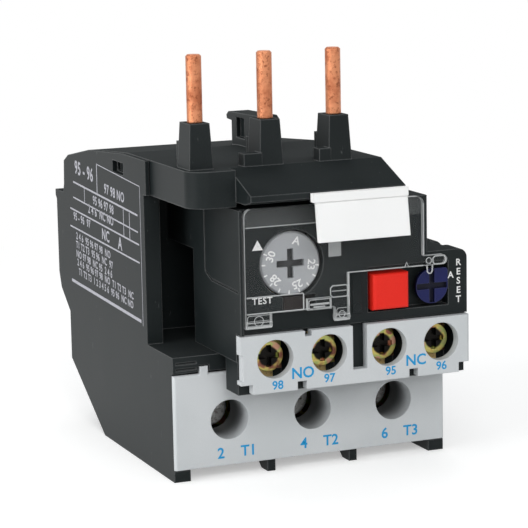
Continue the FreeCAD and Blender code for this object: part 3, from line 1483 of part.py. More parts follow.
def trip_lever():
    """The bell crank that turns the slider's push into the carrier's push."""
    body = new_body("trip_lever")
    low = d.carrier_low
    high = d.slider_low + d.slider_height
    half = d.lever_thick / 2
    pad(body, "XY", low, high - low, Disc(0.0, 0.0, d.pivot_radius + 0.8))
    back_arm = rect(0 - half, 0.0, half, d.lever_reach + 1.9)
    pad(body, "XY", d.slider_low, d.slider_height, back_arm)
    side_arm = rect(0 - d.lever_throw - 1.0, 0 - half, 0.0, half)
    pad(body, "XY", low, d.carrier_height, side_arm)
    doc.recompute()
    pocket(body, "XY", low - 0.5, high - low + 1.0, Disc(0.0, 0.0, d.pivot_radius + 0.05))
    return keep(body, x=d.pivot_x, y=d.pivot_y)


def lever_pin():
    """The steel pin that the trip lever turns on."""
    low = d.ledge_top + d.shell_wall
    length = d.module_top - d.shell_wall - low
    piece = cylinder("trip_lever_pin", "z", (0.0, 0.0, 0.0), d.pivot_radius, length)
    piece.Label = "trip_lever_pin"
    return keep(piece, x=d.pivot_x, y=d.pivot_y, z=low)


def contact_carrier():
    """The moulded bar that carries both contact bridges: a spine, two arms and a lug for the lever."""
    body = new_body("contact_carrier")
    left = carrier_left
    right = left + d.carrier_web
    front = bridge_face + d.bridge_thick
    lug = d.pivot_y + d.lever_thick / 2 + d.slider_play
    post_left = d.aux_first + d.aux_pitch / 2 - 1.4
    outline = [
        (post_left, open_face + d.bridge_thick),
        (post_left + 2.7, open_face + d.bridge_thick),
        (post_left + 2.7, front),
        (aux_x(3) - 3.2, front),
        (aux_x(3) - 3.2, front + d.carrier_arm),
        (right, front + d.carrier_arm),
        (right, lug),
        (right + 2.7, lug),
        (right + 2.7, lug + 1.0),
        (left, lug + 1.0),
        (left, front + d.carrier_arm),
        (post_left, front + d.carrier_arm),
    ]
    pad(body, "XY", d.carrier_low, d.carrier_height, outline)
    return keep(body)


def contact_bridge(label, left, right, face):
    """A springy bridge with a silver tip near each end."""
    body = new_body(label)
    low = d.carrier_low + (d.carrier_height - d.bridge_height) / 2
    bar = rect(left, low, right, low + d.bridge_height)
    pad(body, "XZ", face, d.bridge_thick, bar)
    return keep(body)


def compensation_lever():
    """The lever that rides on the setting cam and shifts the trip point."""
    body = new_body("compensation_lever")
    reach = d.cam_low + d.cam_rise / 2 + d.lever2_tip + 0.1
    tip_x = d.dial_x + reach * 0.70711 - d.lever2_x
    tip_z = d.dial_height - reach * 0.70711 - d.lever2_z
    hub = d.pivot_radius + 0.9
    thick = d.cam_thick - 0.4
    pad(body, "XZ", 0.0, thick, Disc(0.0, 0.0, hub))
    arm = [
        (tip_x - 0.1, tip_z + 0.55),
        (tip_x + 0.3, tip_z - 0.55),
        (0.9, 0 - hub + 0.3),
        (0 - 0.7, hub - 0.3),
    ]
    pad(body, "XZ", 0.0, thick, arm)
    pad(body, "XZ", 0.0, thick, Disc(tip_x, tip_z, d.lever2_tip))
    pad(body, "XZ", 0.0, thick, rect(0.0, -0.7, 5.0, 0.7))
    doc.recompute()
    pocket(body, "XZ", -0.5, thick + 1.0, Disc(0.0, 0.0, d.pivot_radius + 0.05))
    return keep(body, x=d.lever2_x, y=d.cam_front + 0.2, z=d.lever2_z)


def compensation_pin():
    """The pin that the compensation lever turns on, set in the front wall's boss."""
    start = d.shell_wall - d.module_lead
    piece = cylinder("compensation_pin", "y", (0.0, 0.0, 0.0), d.pivot_radius, d.shaft_end - start)
    piece.Label = "compensation_pin"
    return keep(piece, x=d.lever2_x, y=start, z=d.lever2_z)


def build():
    base_housing()
    top_cover()
    load_terminal_cover()
    trip_module_housing()
    aux_terminal_cover()
    for index in range(3):
        phase_pin(index)
        bimetal_strip(index)
        heater_winding(index)
        load_bar(index)
        load_cage(index)
    load_screws()
    contacts = ("no_fixed_contact", "no_return_contact", "nc_fixed_contact", "nc_return_contact")
    for index, label in enumerate(contacts):
        aux_conductor(index, label)
    aux_screws()
    clamp_plates()
    setting_dial()
    dial_cam()
    stop_button()
    reset_plunger()
    reset_knob()
    test_slider()
    stop_seat = d.flange_thick - flange_lead
    button_spring(
        "stop_button_spring", d.stop_left + d.stop_width / 2, stop_seat, d.stop_low + d.stop_height / 2
    )
    button_spring("reset_spring", d.reset_x, d.flange_thick - flange_lead, d.reset_height)
    window_cover()
    marker_plate()
    trip_slider()
    trip_lever()
    lever_pin()
    contact_carrier()
    contact_bridge("no_bridge", aux_x(0) - 1.0, aux_x(1) + 1.0, open_face)
    contact_bridge("nc_bridge", aux_x(2) - 1.0, aux_x(3), bridge_face)
    compensation_lever()
    compensation_pin()


def check_and_export():
    """Stops at the first failed object, then writes one STEP file for each piece."""
    doc.recompute()
    for item in doc.Objects:
        if {"Invalid", "Error"} & set(item.State):
            raise RuntimeError(f"{item.Label} failed: {item.State}")
    os.makedirs("parts", exist_ok=True)
    for piece in nodes:
        shape = piece.Shape
        if shape.isNull() or not shape.isValid():
            raise RuntimeError(f"{piece.Label} has no valid shape")
        shape.exportStep(os.path.join("parts", f"{piece.Label}.step"))
        print(piece.Label, len(shape.Solids), "solid", round(shape.Volume, 1), "mm3")


build()
check_and_export()
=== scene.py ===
# %% [markdown]
# # Thermal overload relay
# The relay sits under a motor contactor and trips it when the motor draws too much current. This file
# gives the imported parts their finishes and adds what a moulder or a printer adds last: soft edges,
# printed numbers, and small clear or moulded details.
# The parts come in as a fixed frame, and every position here is measured from planes of those parts.

import json
import math

import bmesh
import bpy
from mathutils import Matrix, Vector

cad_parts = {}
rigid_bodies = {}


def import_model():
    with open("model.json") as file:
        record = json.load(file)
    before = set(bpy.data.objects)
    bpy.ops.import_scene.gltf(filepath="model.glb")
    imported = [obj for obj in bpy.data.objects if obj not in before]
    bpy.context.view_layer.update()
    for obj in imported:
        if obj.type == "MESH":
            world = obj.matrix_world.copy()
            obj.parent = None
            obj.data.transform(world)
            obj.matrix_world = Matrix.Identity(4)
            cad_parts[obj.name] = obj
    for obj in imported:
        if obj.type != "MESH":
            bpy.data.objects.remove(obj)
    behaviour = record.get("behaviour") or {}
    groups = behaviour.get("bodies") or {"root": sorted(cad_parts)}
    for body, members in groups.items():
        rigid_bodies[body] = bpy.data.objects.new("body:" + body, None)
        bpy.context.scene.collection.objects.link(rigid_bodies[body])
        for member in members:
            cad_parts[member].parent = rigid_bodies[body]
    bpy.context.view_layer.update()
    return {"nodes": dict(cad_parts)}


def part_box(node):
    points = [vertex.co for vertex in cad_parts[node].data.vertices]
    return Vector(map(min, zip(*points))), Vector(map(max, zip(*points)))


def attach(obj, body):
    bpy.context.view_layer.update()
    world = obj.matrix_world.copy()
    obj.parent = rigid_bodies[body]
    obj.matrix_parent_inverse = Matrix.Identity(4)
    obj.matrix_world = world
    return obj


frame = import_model()
nodes = frame["nodes"]

# %% [markdown]
# ## One ruler for everything
# The CAD was drawn from the left side face, the front plane of the grey load cover and the feet. Working
# from the same three planes keeps the numbers readable: `at(x, y, z)` takes millimetres from them and
# gives metres in the frame.

# %% Planes of the drawing
left_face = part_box("base_housing")[0].x
front_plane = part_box("load_terminal_cover")[0].y
MM = 0.001


def at(x, y, z):
    """A place in the frame, from millimetres right of the left side, behind the front and above the feet."""
    return Vector((left_face + x * MM, front_plane + y * MM, z * MM))


def front_of(name):
    """How far a part's front lies behind the front plane, in millimetres; less than 0 is before it."""
    return (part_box(name)[0].y - front_plane) / MM


print("left face", round(left_face, 4), "front plane", round(front_plane, 4))

# %% [markdown]
# ## Shader sums as plain sums
# A surface is a calculation: noise, stretched and clipped, decides how dark or how rough each spot is.
# Wrapping a socket in a small class lets that calculation be written with + and *, and each sign adds
# the Math node behind it.


# %% A socket that can be added and multiplied
BEVEL_SAMPLES = 6


class Value:
    """A number socket that answers to arithmetic."""

    def __init__(self, finish, socket):
        self.finish = finish
        self.socket = socket

    def sum_with(self, operation, first, second):
        return self.finish.node("ShaderNodeMath", {"operation": operation}, {0: first, 1: second})

    def __add__(self, other):
        return self.sum_with("ADD", self, other)

    __radd__ = __add__

    def __sub__(self, other):
        return self.sum_with("SUBTRACT", self, other)

    def __rsub__(self, other):
        return self.sum_with("SUBTRACT", other, self)

    def __mul__(self, other):
        return self.sum_with("MULTIPLY", self, other)

    __rmul__ = __mul__

    def __pow__(self, other):
        return self.sum_with("POWER", self, other)

    def most(self, other):
        """The larger of the two."""
        return self.sum_with("MAXIMUM", self, other)

    def least(self, other):
        """The smaller of the two."""
        return self.sum_with("MINIMUM", self, other)


class Finish:
    """A material, built node by node around one Principled shader."""

    def __init__(self, name):
        self.material = bpy.data.materials.new(name)
        self.material.use_nodes = True
        self.tree = self.material.node_tree
        self.shader = self.tree.nodes["Principled BSDF"]

    def node(self, kind, settings=None, inputs=None, output=0):
        """Adds a node: its settings first, then the values or links of its sockets."""
        made = self.tree.nodes.new(kind)
        for key, value in (settings or {}).items():
            if key == "stops":
                for stop, (position, shade) in zip_stops(made.color_ramp, value):
                    stop.position = position
                    stop.color = shade
            else:
                setattr(made, key, value)
        for key, value in (inputs or {}).items():
            self.feed(made.inputs[key], value)
        return Value(self, made.outputs[output])

    def feed(self, socket, value):
        if isinstance(value, Value):
            self.tree.links.new(value.socket, socket)
        else:
            socket.default_value = value

    def surface(self, **inputs):
        for key, value in inputs.items():
            self.feed(self.shader.inputs[key.replace("_", " ")], value)
        return self.material

    def place(self):
        """Where each spot is on the part, in metres."""
        return self.node("ShaderNodeTexCoord", output="Object")

    def part_of(self, vector, letter):
        """One coordinate of a vector."""
        return self.node("ShaderNodeSeparateXYZ", inputs={0: vector}, output=letter)

    def depth_below(self, face, start, end):
        """0 at a front face and down to start, 1 from end on: both in millimetres behind the face."""
        y = self.part_of(self.place(), "Y")
        level = front_plane + face * MM
        return self.ease(y, level + start * MM, level + end * MM)

    def noise(self, scale, detail=2.0, rough=0.5, stretch=None):
        spot = self.place()
        if stretch:
            spot = self.node("ShaderNodeMapping", inputs={"Vector": spot, "Scale": stretch})
        inputs = {"Vector": spot, "Scale": scale, "Detail": detail, "Roughness": rough}
        return self.node("ShaderNodeTexNoise", inputs=inputs)

    def blend(self, factor, first, second):
        """Mixes two colours by a factor."""
        inputs = {"Factor": factor, 6: first, 7: second}
        return self.node("ShaderNodeMix", {"data_type": "RGBA"}, inputs, output=2)

    def ease(self, value, low, high):
        """0 below low, 1 above high, smooth between."""
        settings = {"interpolation_type": "SMOOTHSTEP"}
        return self.node("ShaderNodeMapRange", settings, {"Value": value, "From Min": low, "From Max": high})

    def bump(self, height, depth, strength=1.0, soft_edge=0.0):
        """A bump of a real depth in metres, on edges rounded by soft_edge."""
        inputs = {"Height": height, "Distance": depth, "Strength": strength}
        if soft_edge:
            rounded = self.node("ShaderNodeBevel", {"samples": BEVEL_SAMPLES}, {"Radius": soft_edge})
            inputs["Normal"] = rounded
        return self.node("ShaderNodeBump", inputs=inputs)


def zip_stops(ramp, stops):
    """Pairs the ramp's elements with the stops, after adding the elements that are missing."""
    while len(ramp.elements) < len(stops):
        ramp.elements.new(0.5)
    return zip(ramp.elements, stops)


# %% [markdown]
# ## Black polyamide
# The housings are black glass-filled polyamide. It is never quite black: the mould is spark eroded, so a
# fine grain scatters light, handling polishes the high spots, and the sharp edges catch a little more
# light than the faces. A flat dark colour would look painted. Here fine noise gives the grain, broad noise
# the uneven sheen, a few stretched specks the scuffs, and a bevel node finds and rounds the edges, which
# are also painted paler as a painted highlight. Faces that look up gather dust, so they are duller. The
# other plastics are made the same way.


# %% Edges of moulded plastic
EDGE_LEAN = (0.015, 0.2)


def solid(colour):
    """A colour with its fourth number, as the sockets want it."""
    return (*colour, 1.0)


def edge_of(finish, reach):
    """1 on edges, 0 on open faces: how far a rounded normal leans from the true one."""
    rounded = finish.node("ShaderNodeBevel", {"samples": BEVEL_SAMPLES}, {"Radius": reach})
    true = finish.node("ShaderNodeNewGeometry", output="Normal")
    settings = {"operation": "DOT_PRODUCT"}
    same = finish.node("ShaderNodeVectorMath", settings, {0: rounded, 1: true}, output="Value")
    return finish.ease(1 - same, *EDGE_LEAN)


print("an edge shows where the normal leans by more than", EDGE_LEAN[0])

# %% Moulded plastics
SHEEN_SCALE = 90.0
GRAIN_SCALE = 5200.0
SCUFF_SCALE = 1500.0
SCUFF_STRETCH = (1.0, 1.0, 0.25)
SCUFF_COLOUR = (0.16, 0.17, 0.17)


def moulded(
    name,
    colour,
    lighter,
    roughness,
    gloss=0.5,
    grain=0.01 * MM,
    edge=0.2 * MM,
    painted_rim_light=0.0,
    scuffs=0.0,
    dull_top=0.0,
    painted_recess_shade=None,
):
    """A moulded plastic between two close tones.

    rim, scuffs and dull_top say how strongly the edges get a painted highlight, scuffs show and upward faces
    lose their gloss.
    painted_recess_shade is (face, start, end, strength): painted shade darkens what is sunk behind that face.
    """
    finish = Finish(name)
    cloud = finish.noise(SHEEN_SCALE, 3.0)
    speck = finish.noise(GRAIN_SCALE, 2.0, 0.6)
    tone = finish.ease(cloud * 0.7 + speck * 0.3, 0.35, 0.68)
    shade = finish.blend(tone, solid(colour), solid(lighter))
    # Painted highlight: the edges are painted a paler tone, for the light that they catch.
    if painted_rim_light:
        pale = tuple(min(1.0, c * 1.4 + 0.12) for c in lighter)
        shade = finish.blend(edge_of(finish, edge) * painted_rim_light, shade, solid(pale))
    if scuffs:
        across = finish.noise(SCUFF_SCALE, 3.0, 0.7, SCUFF_STRETCH)
        scuffed = finish.ease(across, 0.68, 0.78) * scuffs
        shade = finish.blend(scuffed, shade, solid(SCUFF_COLOUR))
    # Painted shade: what lies deeper behind the face is painted darker, as shade falls in tubes and slots.
    if painted_recess_shade:
        face, start, end, strength = painted_recess_shade
        dim = tuple(c * 0.06 for c in colour)
        shade = finish.blend(finish.depth_below(face, start, end) * strength, shade, solid(dim))
    rough = roughness + 0.12 * (cloud - 0.5) + 0.1 * (speck - 0.5)
    if dull_top:
        up = finish.part_of(finish.node("ShaderNodeTexCoord", output="Normal"), "Z")
        rough = (rough + dull_top * finish.ease(up, 0.6, 0.95)).least(1.0)
    normal = finish.bump(speck, grain, 0.6, edge)
    finish.shader.inputs["Specular IOR Level"].default_value = gloss
    return finish.surface(Base_Color=shade, Roughness=rough, Normal=normal)


BLACK = ((0.0065, 0.0095, 0.01), (0.0125, 0.016, 0.0165))
GREY = ((0.53, 0.555, 0.565), (0.575, 0.595, 0.605))
RED = ((0.72, 0.016, 0.009), (0.77, 0.024, 0.013))
BLUE = ((0.006, 0.009, 0.06), (0.01, 0.013, 0.085))
DIAL_GREY = ((0.34, 0.35, 0.365), (0.41, 0.42, 0.43))
NATURAL = ((0.62, 0.57, 0.45), (0.68, 0.64, 0.52))
BROWN = ((0.014, 0.01, 0.009), (0.024, 0.018, 0.016))
WHITE = ((0.86, 0.86, 0.85), (0.88, 0.88, 0.87))
print("moulded tones run from", BLACK[0], "to", WHITE[1])

# %% The housings and covers
black = moulded("black polyamide", *BLACK, 0.46, gloss=0.15, edge=0.3 * MM, painted_rim_light=0.8, scuffs=0.4, dull_top=0.5)
rough_black = moulded("rough black panel", *BLACK, 0.6, gloss=0.16, grain=0.1 * MM, painted_rim_light=0.3, scuffs=0.6)
grey = moulded("light grey polyamide", *GREY, 0.5, gloss=0.25, painted_rim_light=0.2)
# The load cover's screw tubes get painted shade, darker with depth behind its front.
cover_depths = (0.0, 0.8, 5.5, 0.9)
grey_tubed = moulded("light grey polyamide, tubed", *GREY, 0.5, gloss=0.25, painted_rim_light=0.2, painted_recess_shade=cover_depths)
white = moulded("white plate plastic", *WHITE, 0.5, gloss=0.3)
print("housings and covers:", [m.name for m in (black, rough_black, grey, grey_tubed, white)])

# %% [markdown]
# ## Buttons, dial and gear
# What a hand touches is coloured plastic, a little glossier than the housings. The driver slots in the dial
# and in the reset knob are darker than their faces: painted shade darkens both with the depth behind their
# own front.

# %% The buttons, the dial and the gear behind them
red = moulded("red button plastic", *RED, 0.4, gloss=0.2, painted_rim_light=0.12)
# Painted shade in the knob's and the dial's driver slots.
knob_depths = (front_of("reset_knob"), 0.15, 0.45, 0.9)
blue = moulded("blue knob plastic", *BLUE, 0.38, gloss=0.2, painted_rim_light=0.25, painted_recess_shade=knob_depths)
dial_depths = (front_of("setting_dial"), 0.3, 0.9, 0.92)
dial_grey = moulded("grey dial plastic", *DIAL_GREY, 0.5, gloss=0.3, painted_rim_light=0.2, painted_recess_shade=dial_depths)
natural = moulded("natural gear plastic", *NATURAL, 0.5)
brown = moulded("dark brown tab plastic", *BROWN, 0.45, gloss=0.2, painted_rim_light=0.3)
print("buttons and gear:", [m.name for m in (red, blue, dial_grey, natural, brown)])

# %% [markdown]
# ## Metals
# The pins are drawn copper: bright, with marks along the drawing direction and patches where the air has
# dulled them. The screws are zinc plated and passivated: the thin film on them shows yellow, green and
# red as its thickness changes. A colour ramp driven by noise gives that film, as a real one has no pattern.
# The film's colours are its own, but the middle of each head round its slot is painted dark, a painted shade
# for its deep hole, so the film shows only near the rim, where it also stands in for glints there.


# %% Drawn and rolled metals
STREAK_SCALE = 9000.0
DRAWN_ALONG = (1.0, 1.0, 0.05)
PIT_SCALE = 1700.0
PATCH_SCALE = 300.0
PIT_TONES = (0.5, 0.42, 0.4)


def metal(name, colour, dulled, roughness, marks=0.02 * MM):
    """A bare metal: bright, dulled in patches, with dark pits and marks along its drawing direction."""
    finish = Finish(name)
    streak = finish.noise(STREAK_SCALE, 3.0, 0.6, DRAWN_ALONG)
    pits = finish.noise(PIT_SCALE, 4.0, 0.7)
    worn = finish.ease(finish.noise(PATCH_SCALE, 4.0, 0.65), 0.42, 0.66)
    shade = finish.blend(worn, solid(colour), solid(dulled))
    dark = finish.ease(pits, 0.53, 0.64) * 0.75
    pit_colour = [share * part for share, part in zip(PIT_TONES, dulled)]
    shade = finish.blend(dark, shade, solid(pit_colour))
    rough = roughness + 0.18 * worn + 0.14 * (streak - 0.5)
    normal = finish.bump(streak + pits, marks, 0.6, 0.15 * MM)
    finish.shader.inputs["Metallic"].default_value = 1.0
    return finish.surface(Base_Color=shade, Roughness=rough, Normal=normal)


copper = metal("drawn copper", (0.58, 0.235, 0.12), (0.4, 0.135, 0.065), 0.36, marks=0.08 * MM)
brass = metal("rolled brass", (0.8, 0.6, 0.28), (0.6, 0.42, 0.18), 0.3)
steel = metal("bright steel", (0.62, 0.62, 0.61), (0.5, 0.5, 0.49), 0.28)
bimetal = metal("rolled bimetal", (0.6, 0.57, 0.52), (0.5, 0.46, 0.4), 0.35)
print("metals:", [m.name for m in (copper, brass, steel, bimetal)])

# %% Yellow passivated zinc
SCREW_AXES = [left_face + x * MM for x in (12.9, 21.6, 31.45, 40.15)]
SCREW_HEIGHT = 19.48 * MM
HEAD_RIM = (1.1 * MM, 1.9 * MM)
FILM_SCALE = 420.0
FILM_STOPS = [
    (0.38, (0.22, 0.09, 0.06, 1.0)),
    (0.46, (0.5, 0.4, 0.12, 1.0)),
    (0.54, (0.3, 0.36, 0.12, 1.0)),
    (0.62, (0.45, 0.24, 0.16, 1.0)),
]
# Painted shade for the middle of each screw head, deep in its hole.
PAINTED_HOLE_SHADE = (0.012, 0.011, 0.01)


def passivated(name):
    """Zinc under a film that shines in several colours, with painted shade in the middle of each screw head.
    """
    finish = Finish(name)
    film = finish.noise(FILM_SCALE, 2.0)
    x = finish.part_of(finish.place(), "X")
    z = finish.part_of(finish.place(), "Z") - SCREW_HEIGHT
    away = 1.0
    for axis in SCREW_AXES:
        across = x - axis
        away = ((across * across + z * z) ** 0.5).least(away)
    # Painted shade in the middle of each head; near the rim the film's colours serve as painted glints.
    painted_rim_light = finish.ease(away, *HEAD_RIM)
    shade = finish.node("ShaderNodeValToRGB", {"stops": FILM_STOPS}, {"Fac": film})
    shade = finish.blend(finish.ease(painted_rim_light * 0.75 + film * 0.8, 0.6, 1.05), solid(PAINTED_HOLE_SHADE), shade)
    normal = finish.bump(finish.noise(3000.0), 0.02 * MM, 0.5, 0.1 * MM)
    finish.shader.inputs["Metallic"].default_value = 1.0
    return finish.surface(Base_Color=shade, Roughness=0.22 + 0.2 * film, Normal=normal)


zinc = passivated("yellow passivated zinc")
print("plated:", zinc.name)

# %% [markdown]
# ## Clear polycarbonate
# The window over the dial is thin and clear. Most light goes straight through its face, and what tells the
# eye that it is there is its cut edges, which gather light and glow. True refraction would be noisy in so
# thin a sheet, so the face is nearly transparent and the edge faces are not: they are more opaque and
# pale, a painted glow for the light they gather. The normal in the part's own frame says which is which.


# %% Clear window
BAND_EDGE = (39.2 * MM, 39.4 * MM)
CLEAR_COLOUR = (0.78, 0.8, 0.8)


def clear_plastic(name, face, edge):
    """Clear plastic that covers what is behind it by `face` on its faces and by `edge` more on its edges,
    where its pale colour is a painted glow.
    """
    finish = Finish(name)
    haze = finish.noise(120.0, 3.0)
    along_y = finish.part_of(finish.node("ShaderNodeTexCoord", output="Normal"), "Y")
    flat = finish.ease(along_y * along_y, 0.6, 0.95)
    band = finish.ease(finish.part_of(finish.place(), "Z"), *BAND_EDGE)
    # Painted glow: the edge faces are more opaque and pale, standing in for the light they gather.
    cover = face + 0.012 * haze + 0.03 * band + edge * (1 - flat)
    finish.shader.inputs["Specular IOR Level"].default_value = 0.35
    rough = 0.12 + 0.2 * (1 - flat)
    normal = finish.bump(haze, 0.1 * MM, 0.15, 0.2 * MM)
    return finish.surface(Base_Color=solid(CLEAR_COLOUR), Alpha=cover, Roughness=rough, Normal=normal)


clear = clear_plastic("clear polycarbonate", 0.004, 0.6)
ridge_clear = clear_plastic("clear ridges", 0.3, 0.2)
block_clear = clear_plastic("clear block", 0.05, 0.3)
print("clear:", [m.name for m in (clear, ridge_clear, block_clear)])

# %% [markdown]
# ## Printing inks
# The terminal numbers are pad printed in cyan, the words round the buttons in white. An ink is thin and
# matt, and it breaks up a little where the plastic under it is rough, so its colour wanders with fine noise.


# %% Inks
def ink(name, colour, faded):
    """A matt ink that wanders between its colour and a faded one."""
    finish = Finish(name)
    patchy = finish.ease(finish.noise(2600.0, 3.0, 0.7), 0.5, 0.72)
    shade = finish.blend(patchy, solid(colour), solid(faded))
    finish.shader.inputs["Specular IOR Level"].default_value = 0.25
    return finish.surface(Base_Color=shade, Roughness=0.5 + 0.15 * patchy)


cyan = ink("cyan ink", (0.008, 0.27, 0.56), (0.03, 0.31, 0.58))
white_ink = ink("white ink", (0.78, 0.78, 0.77), (0.55, 0.56, 0.56))
pale_ink = ink("pale label ink", (0.42, 0.42, 0.46), (0.25, 0.25, 0.28))
print("inks:", [m.name for m in (cyan, white_ink, pale_ink)])

# %% [markdown]
# ## A finish for every part
# Parts of one material share one finish, as they come from one mould or one strip. The list gives the
# finish, then the parts by name or by the start of a name, so that three like parts take one entry.

# %% Give every part its finish
TRIP_GEAR = ["trip_slider", "trip_lever", "contact_carrier"]
SPRINGS = ["stop_button_spring", "reset_spring"]
finishes = {
    black: ["base_housing", "top_cover", "trip_module_housing"],
    grey_tubed: ["load_terminal_cover"],
    grey: ["aux_terminal_cover"],
    white: ["marker_plate"],
    red: ["stop_button"],
    blue: ["reset_knob"],
    dial_grey: ["setting_dial"],
    brown: ["test_slider"],
    natural: ["dial_cam", "compensation_lever", "reset_plunger", *TRIP_GEAR],
    copper: ["phase_pin_"],
    brass: ["load_bar_", "no_fixed", "no_return", "nc_fixed", "nc_return", "no_bridge", "nc_bridge"],
    steel: ["load_terminal_screws", "trip_lever_pin", "compensation_pin", *SPRINGS],
    zinc: ["load_cage_", "aux_terminal_screws", "aux_clamp_plates"],
    bimetal: ["bimetal_strip_", "heater_winding_"],
    clear: ["window_cover"],
}
painted = set()
for material, starts in finishes.items():
    for name, thing in nodes.items():
        if name.startswith(tuple(starts)) and name not in painted:
            thing.data.materials.clear()
            thing.data.materials.append(material)
            painted.add(name)
print("without a finish:", sorted(set(nodes) - painted))

# %% [markdown]
# ## Printed marks
# Each mark is a text object laid on its face. Text keeps its letters sharp at any distance, and a hundredth
# of a millimetre of thickness lifts it off the plastic so that the two surfaces don't fight. The matrix
# says which way the reader looks: at the front face, or at the left side.

# %% A mark on the front or on the side
FRONT = Matrix(((1, 0, 0), (0, 0, -1), (0, 1, 0)))
LEFT = Matrix(((0, 0, -1), (-1, 0, 0), (0, 1, 0)))
LIFT = 0.012  # thickness of the ink, in millimetres
CAPITAL_SHARE = 0.69  # how much of the font's size its capitals take
BOLDER = 0.03  # how far the outlines swell, as a share of the capitals


def settle(thing, place, facing, turn, body, material):
    """Puts a piece on its face, gives it its finish and ties it to its body."""
    spin = Matrix.Rotation(math.radians(turn), 3, "Z")
    thing.matrix_world = Matrix.Translation(place) @ (facing @ spin).to_4x4()
    bpy.context.scene.collection.objects.link(thing)
    thing.data.materials.append(material)
    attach(thing, body)


def mark(
    name, words, place, tall, material, facing=FRONT, turn=0.0, body="relay", slot="black_plastic", wide=1.0
):
    """Prints a short text whose capitals are `tall` millimetres high, centred on a place."""
    letters = bpy.data.curves.new(name, "FONT")
    letters.body = words
    letters.size = tall * MM / CAPITAL_SHARE
    letters.align_x = "CENTER"
    letters.align_y = "CENTER"
    letters.extrude = LIFT * MM / 2
    letters.resolution_u = 3
    letters.offset = tall * MM * BOLDER
    letters.space_character = wide
    settle(bpy.data.objects.new(name, letters), place, facing, turn, body, material)


print("ink stands", LIFT, "mm proud")

# %% Terminal numbers on the grey covers
phase_pitch = (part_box("load_bar_2")[0].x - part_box("load_bar_1")[0].x) / MM
first_number = 7.4
letters_after = 4.5
load_row = 3.75
load_tall = 1.6
load_face = -LIFT / 2
aux_face = front_of("aux_terminal_cover") - LIFT / 2
for name, words, x, z, tall in (
    ("mark_98", "98", 13.2, 15.5, 1.25),
    ("mark_NO", "NO", 17.25, 16.95, 1.6),
    ("mark_97", "97", 21.55, 15.72, 1.25),
    ("mark_95", "95", 31.65, 15.78, 1.25),
    ("mark_NC", "NC", 35.85, 17.0, 1.6),
    ("mark_96", "96", 40.15, 15.7, 1.25),
):
    mark(name, words, at(x, aux_face, z), tall, cyan, slot="grey_plastic")
for phase in range(3):
    x = first_number + phase_pitch * phase
    number, letter = at(x, load_face, load_row), at(x + letters_after, load_face, load_row)
    mark(f"mark_load_{phase + 1}", str(2 * phase + 2), number, load_tall, cyan, slot="grey_plastic")
    mark(f"mark_T{phase + 1}", f"T{phase + 1}", letter, load_tall, cyan, slot="grey_plastic")

# %% Words on the black front
panel = -7.9
panel_ink = panel - LIFT / 2
reset_column, reset_top, letter_step = 43.55, 31.2, 1.42
for row, letter in enumerate("RESET"):
    spot = at(reset_column, panel_ink, reset_top - letter_step * row)
    mark(f"mark_reset_{row + 1}", letter, spot, 0.98, white_ink)
mark("mark_auto", "A", at(42.25, panel_ink, 29.35), 0.98, white_ink)
mark("mark_test", "TEST", at(11.35, panel_ink, 28.15), 0.95, white_ink, wide=1.12)

# %% A thin plate of any outline
PRINTED = 0.1  # plates thinner than this, in millimetres, are ink and keep sharp edges
SOFT_EDGE = 0.12


def rectangle(half_wide, half_tall):
    """The four corners of a rectangle round its own middle."""
    low = [(-half_wide, -half_tall), (half_wide, -half_tall)]
    high = [(half_wide, half_tall), (-half_wide, half_tall)]
    return low + high


def flat_shape(
    name, corners, thick, place, material, facing=FRONT, turn=0.0, body="relay", slot="black_plastic"
):
    """A thin plate through corners in millimetres, with softened edges."""
    mesh = bpy.data.meshes.new(name)
    shape = bmesh.new()
    ring = [shape.verts.new((u * MM, v * MM, 0.0)) for u, v in corners]
    face = shape.faces.new(ring)
    grown = bmesh.ops.extrude_face_region(shape, geom=[face])["geom"]
    for corner in grown:
        if isinstance(corner, bmesh.types.BMVert):
            corner.co.z += thick * MM
    bmesh.ops.recalc_face_normals(shape, faces=shape.faces)
    if thick > PRINTED:
        top = [e for e in shape.edges if all(v.co.z > thick * MM * 0.9 for v in e.verts)]
        reach = min(SOFT_EDGE, thick * 0.4) * MM
        bmesh.ops.bevel(shape, geom=top, offset=reach, segments=2, affect="EDGES", profile=0.6)
    shape.to_mesh(mesh)
    shape.free()
    settle(bpy.data.objects.new(name, mesh), place, facing, turn, body, material)


arrow = [(-0.86, -0.74), (0.86, -0.74), (0.0, 0.78)]
flat_shape("setting_pointer", arrow, LIFT, at(10.75, panel, 36.45), white_ink)
print("pointer with", len(arrow), "corners")

# %% [markdown]
# ## Numbers round the dial
# The dial turns, so its numbers ride on it. Each is turned to face the rim, with a short tick beyond it,
# at even steps round the travel, and a letter stands where the travel begins.

# %% Dial scale
dial_axis = (16.1, 33.3)
dial_face = front_of("setting_dial")
number_radius, letter_radius, tick_radius = 3.3, 3.4, 4.3
letter_angle = 17.0
dial_ride = {"body": "dial", "slot": "dial_plastic"}


def on_dial(angle, radius, lift=LIFT / 2):
    """A place on the dial's face: the angle runs clockwise from the top."""
    a = math.radians(angle)
    return at(dial_axis[0] + radius * math.sin(a), dial_face - lift, dial_axis[1] + radius * math.cos(a))


first, step = -68.0, -21.6
for k, words in ((0, "30"), (3, "28"), (6, "25"), (9, "23")):
    angle = first + step * k
    mark(f"dial_{words}", words, on_dial(angle, number_radius), 1.15, white_ink, turn=-angle, **dial_ride)
mark("dial_A", "A", on_dial(letter_angle, letter_radius), 1.2, white_ink, turn=-letter_angle, **dial_ride)
tick = rectangle(0.11, 0.3)
for k in range(10):
    angle = first + step * k
    spot = on_dial(angle, tick_radius, 0.0)
    flat_shape(f"dial_tick_{k + 1}", tick, LIFT, spot, white_ink, turn=-angle, **dial_ride)

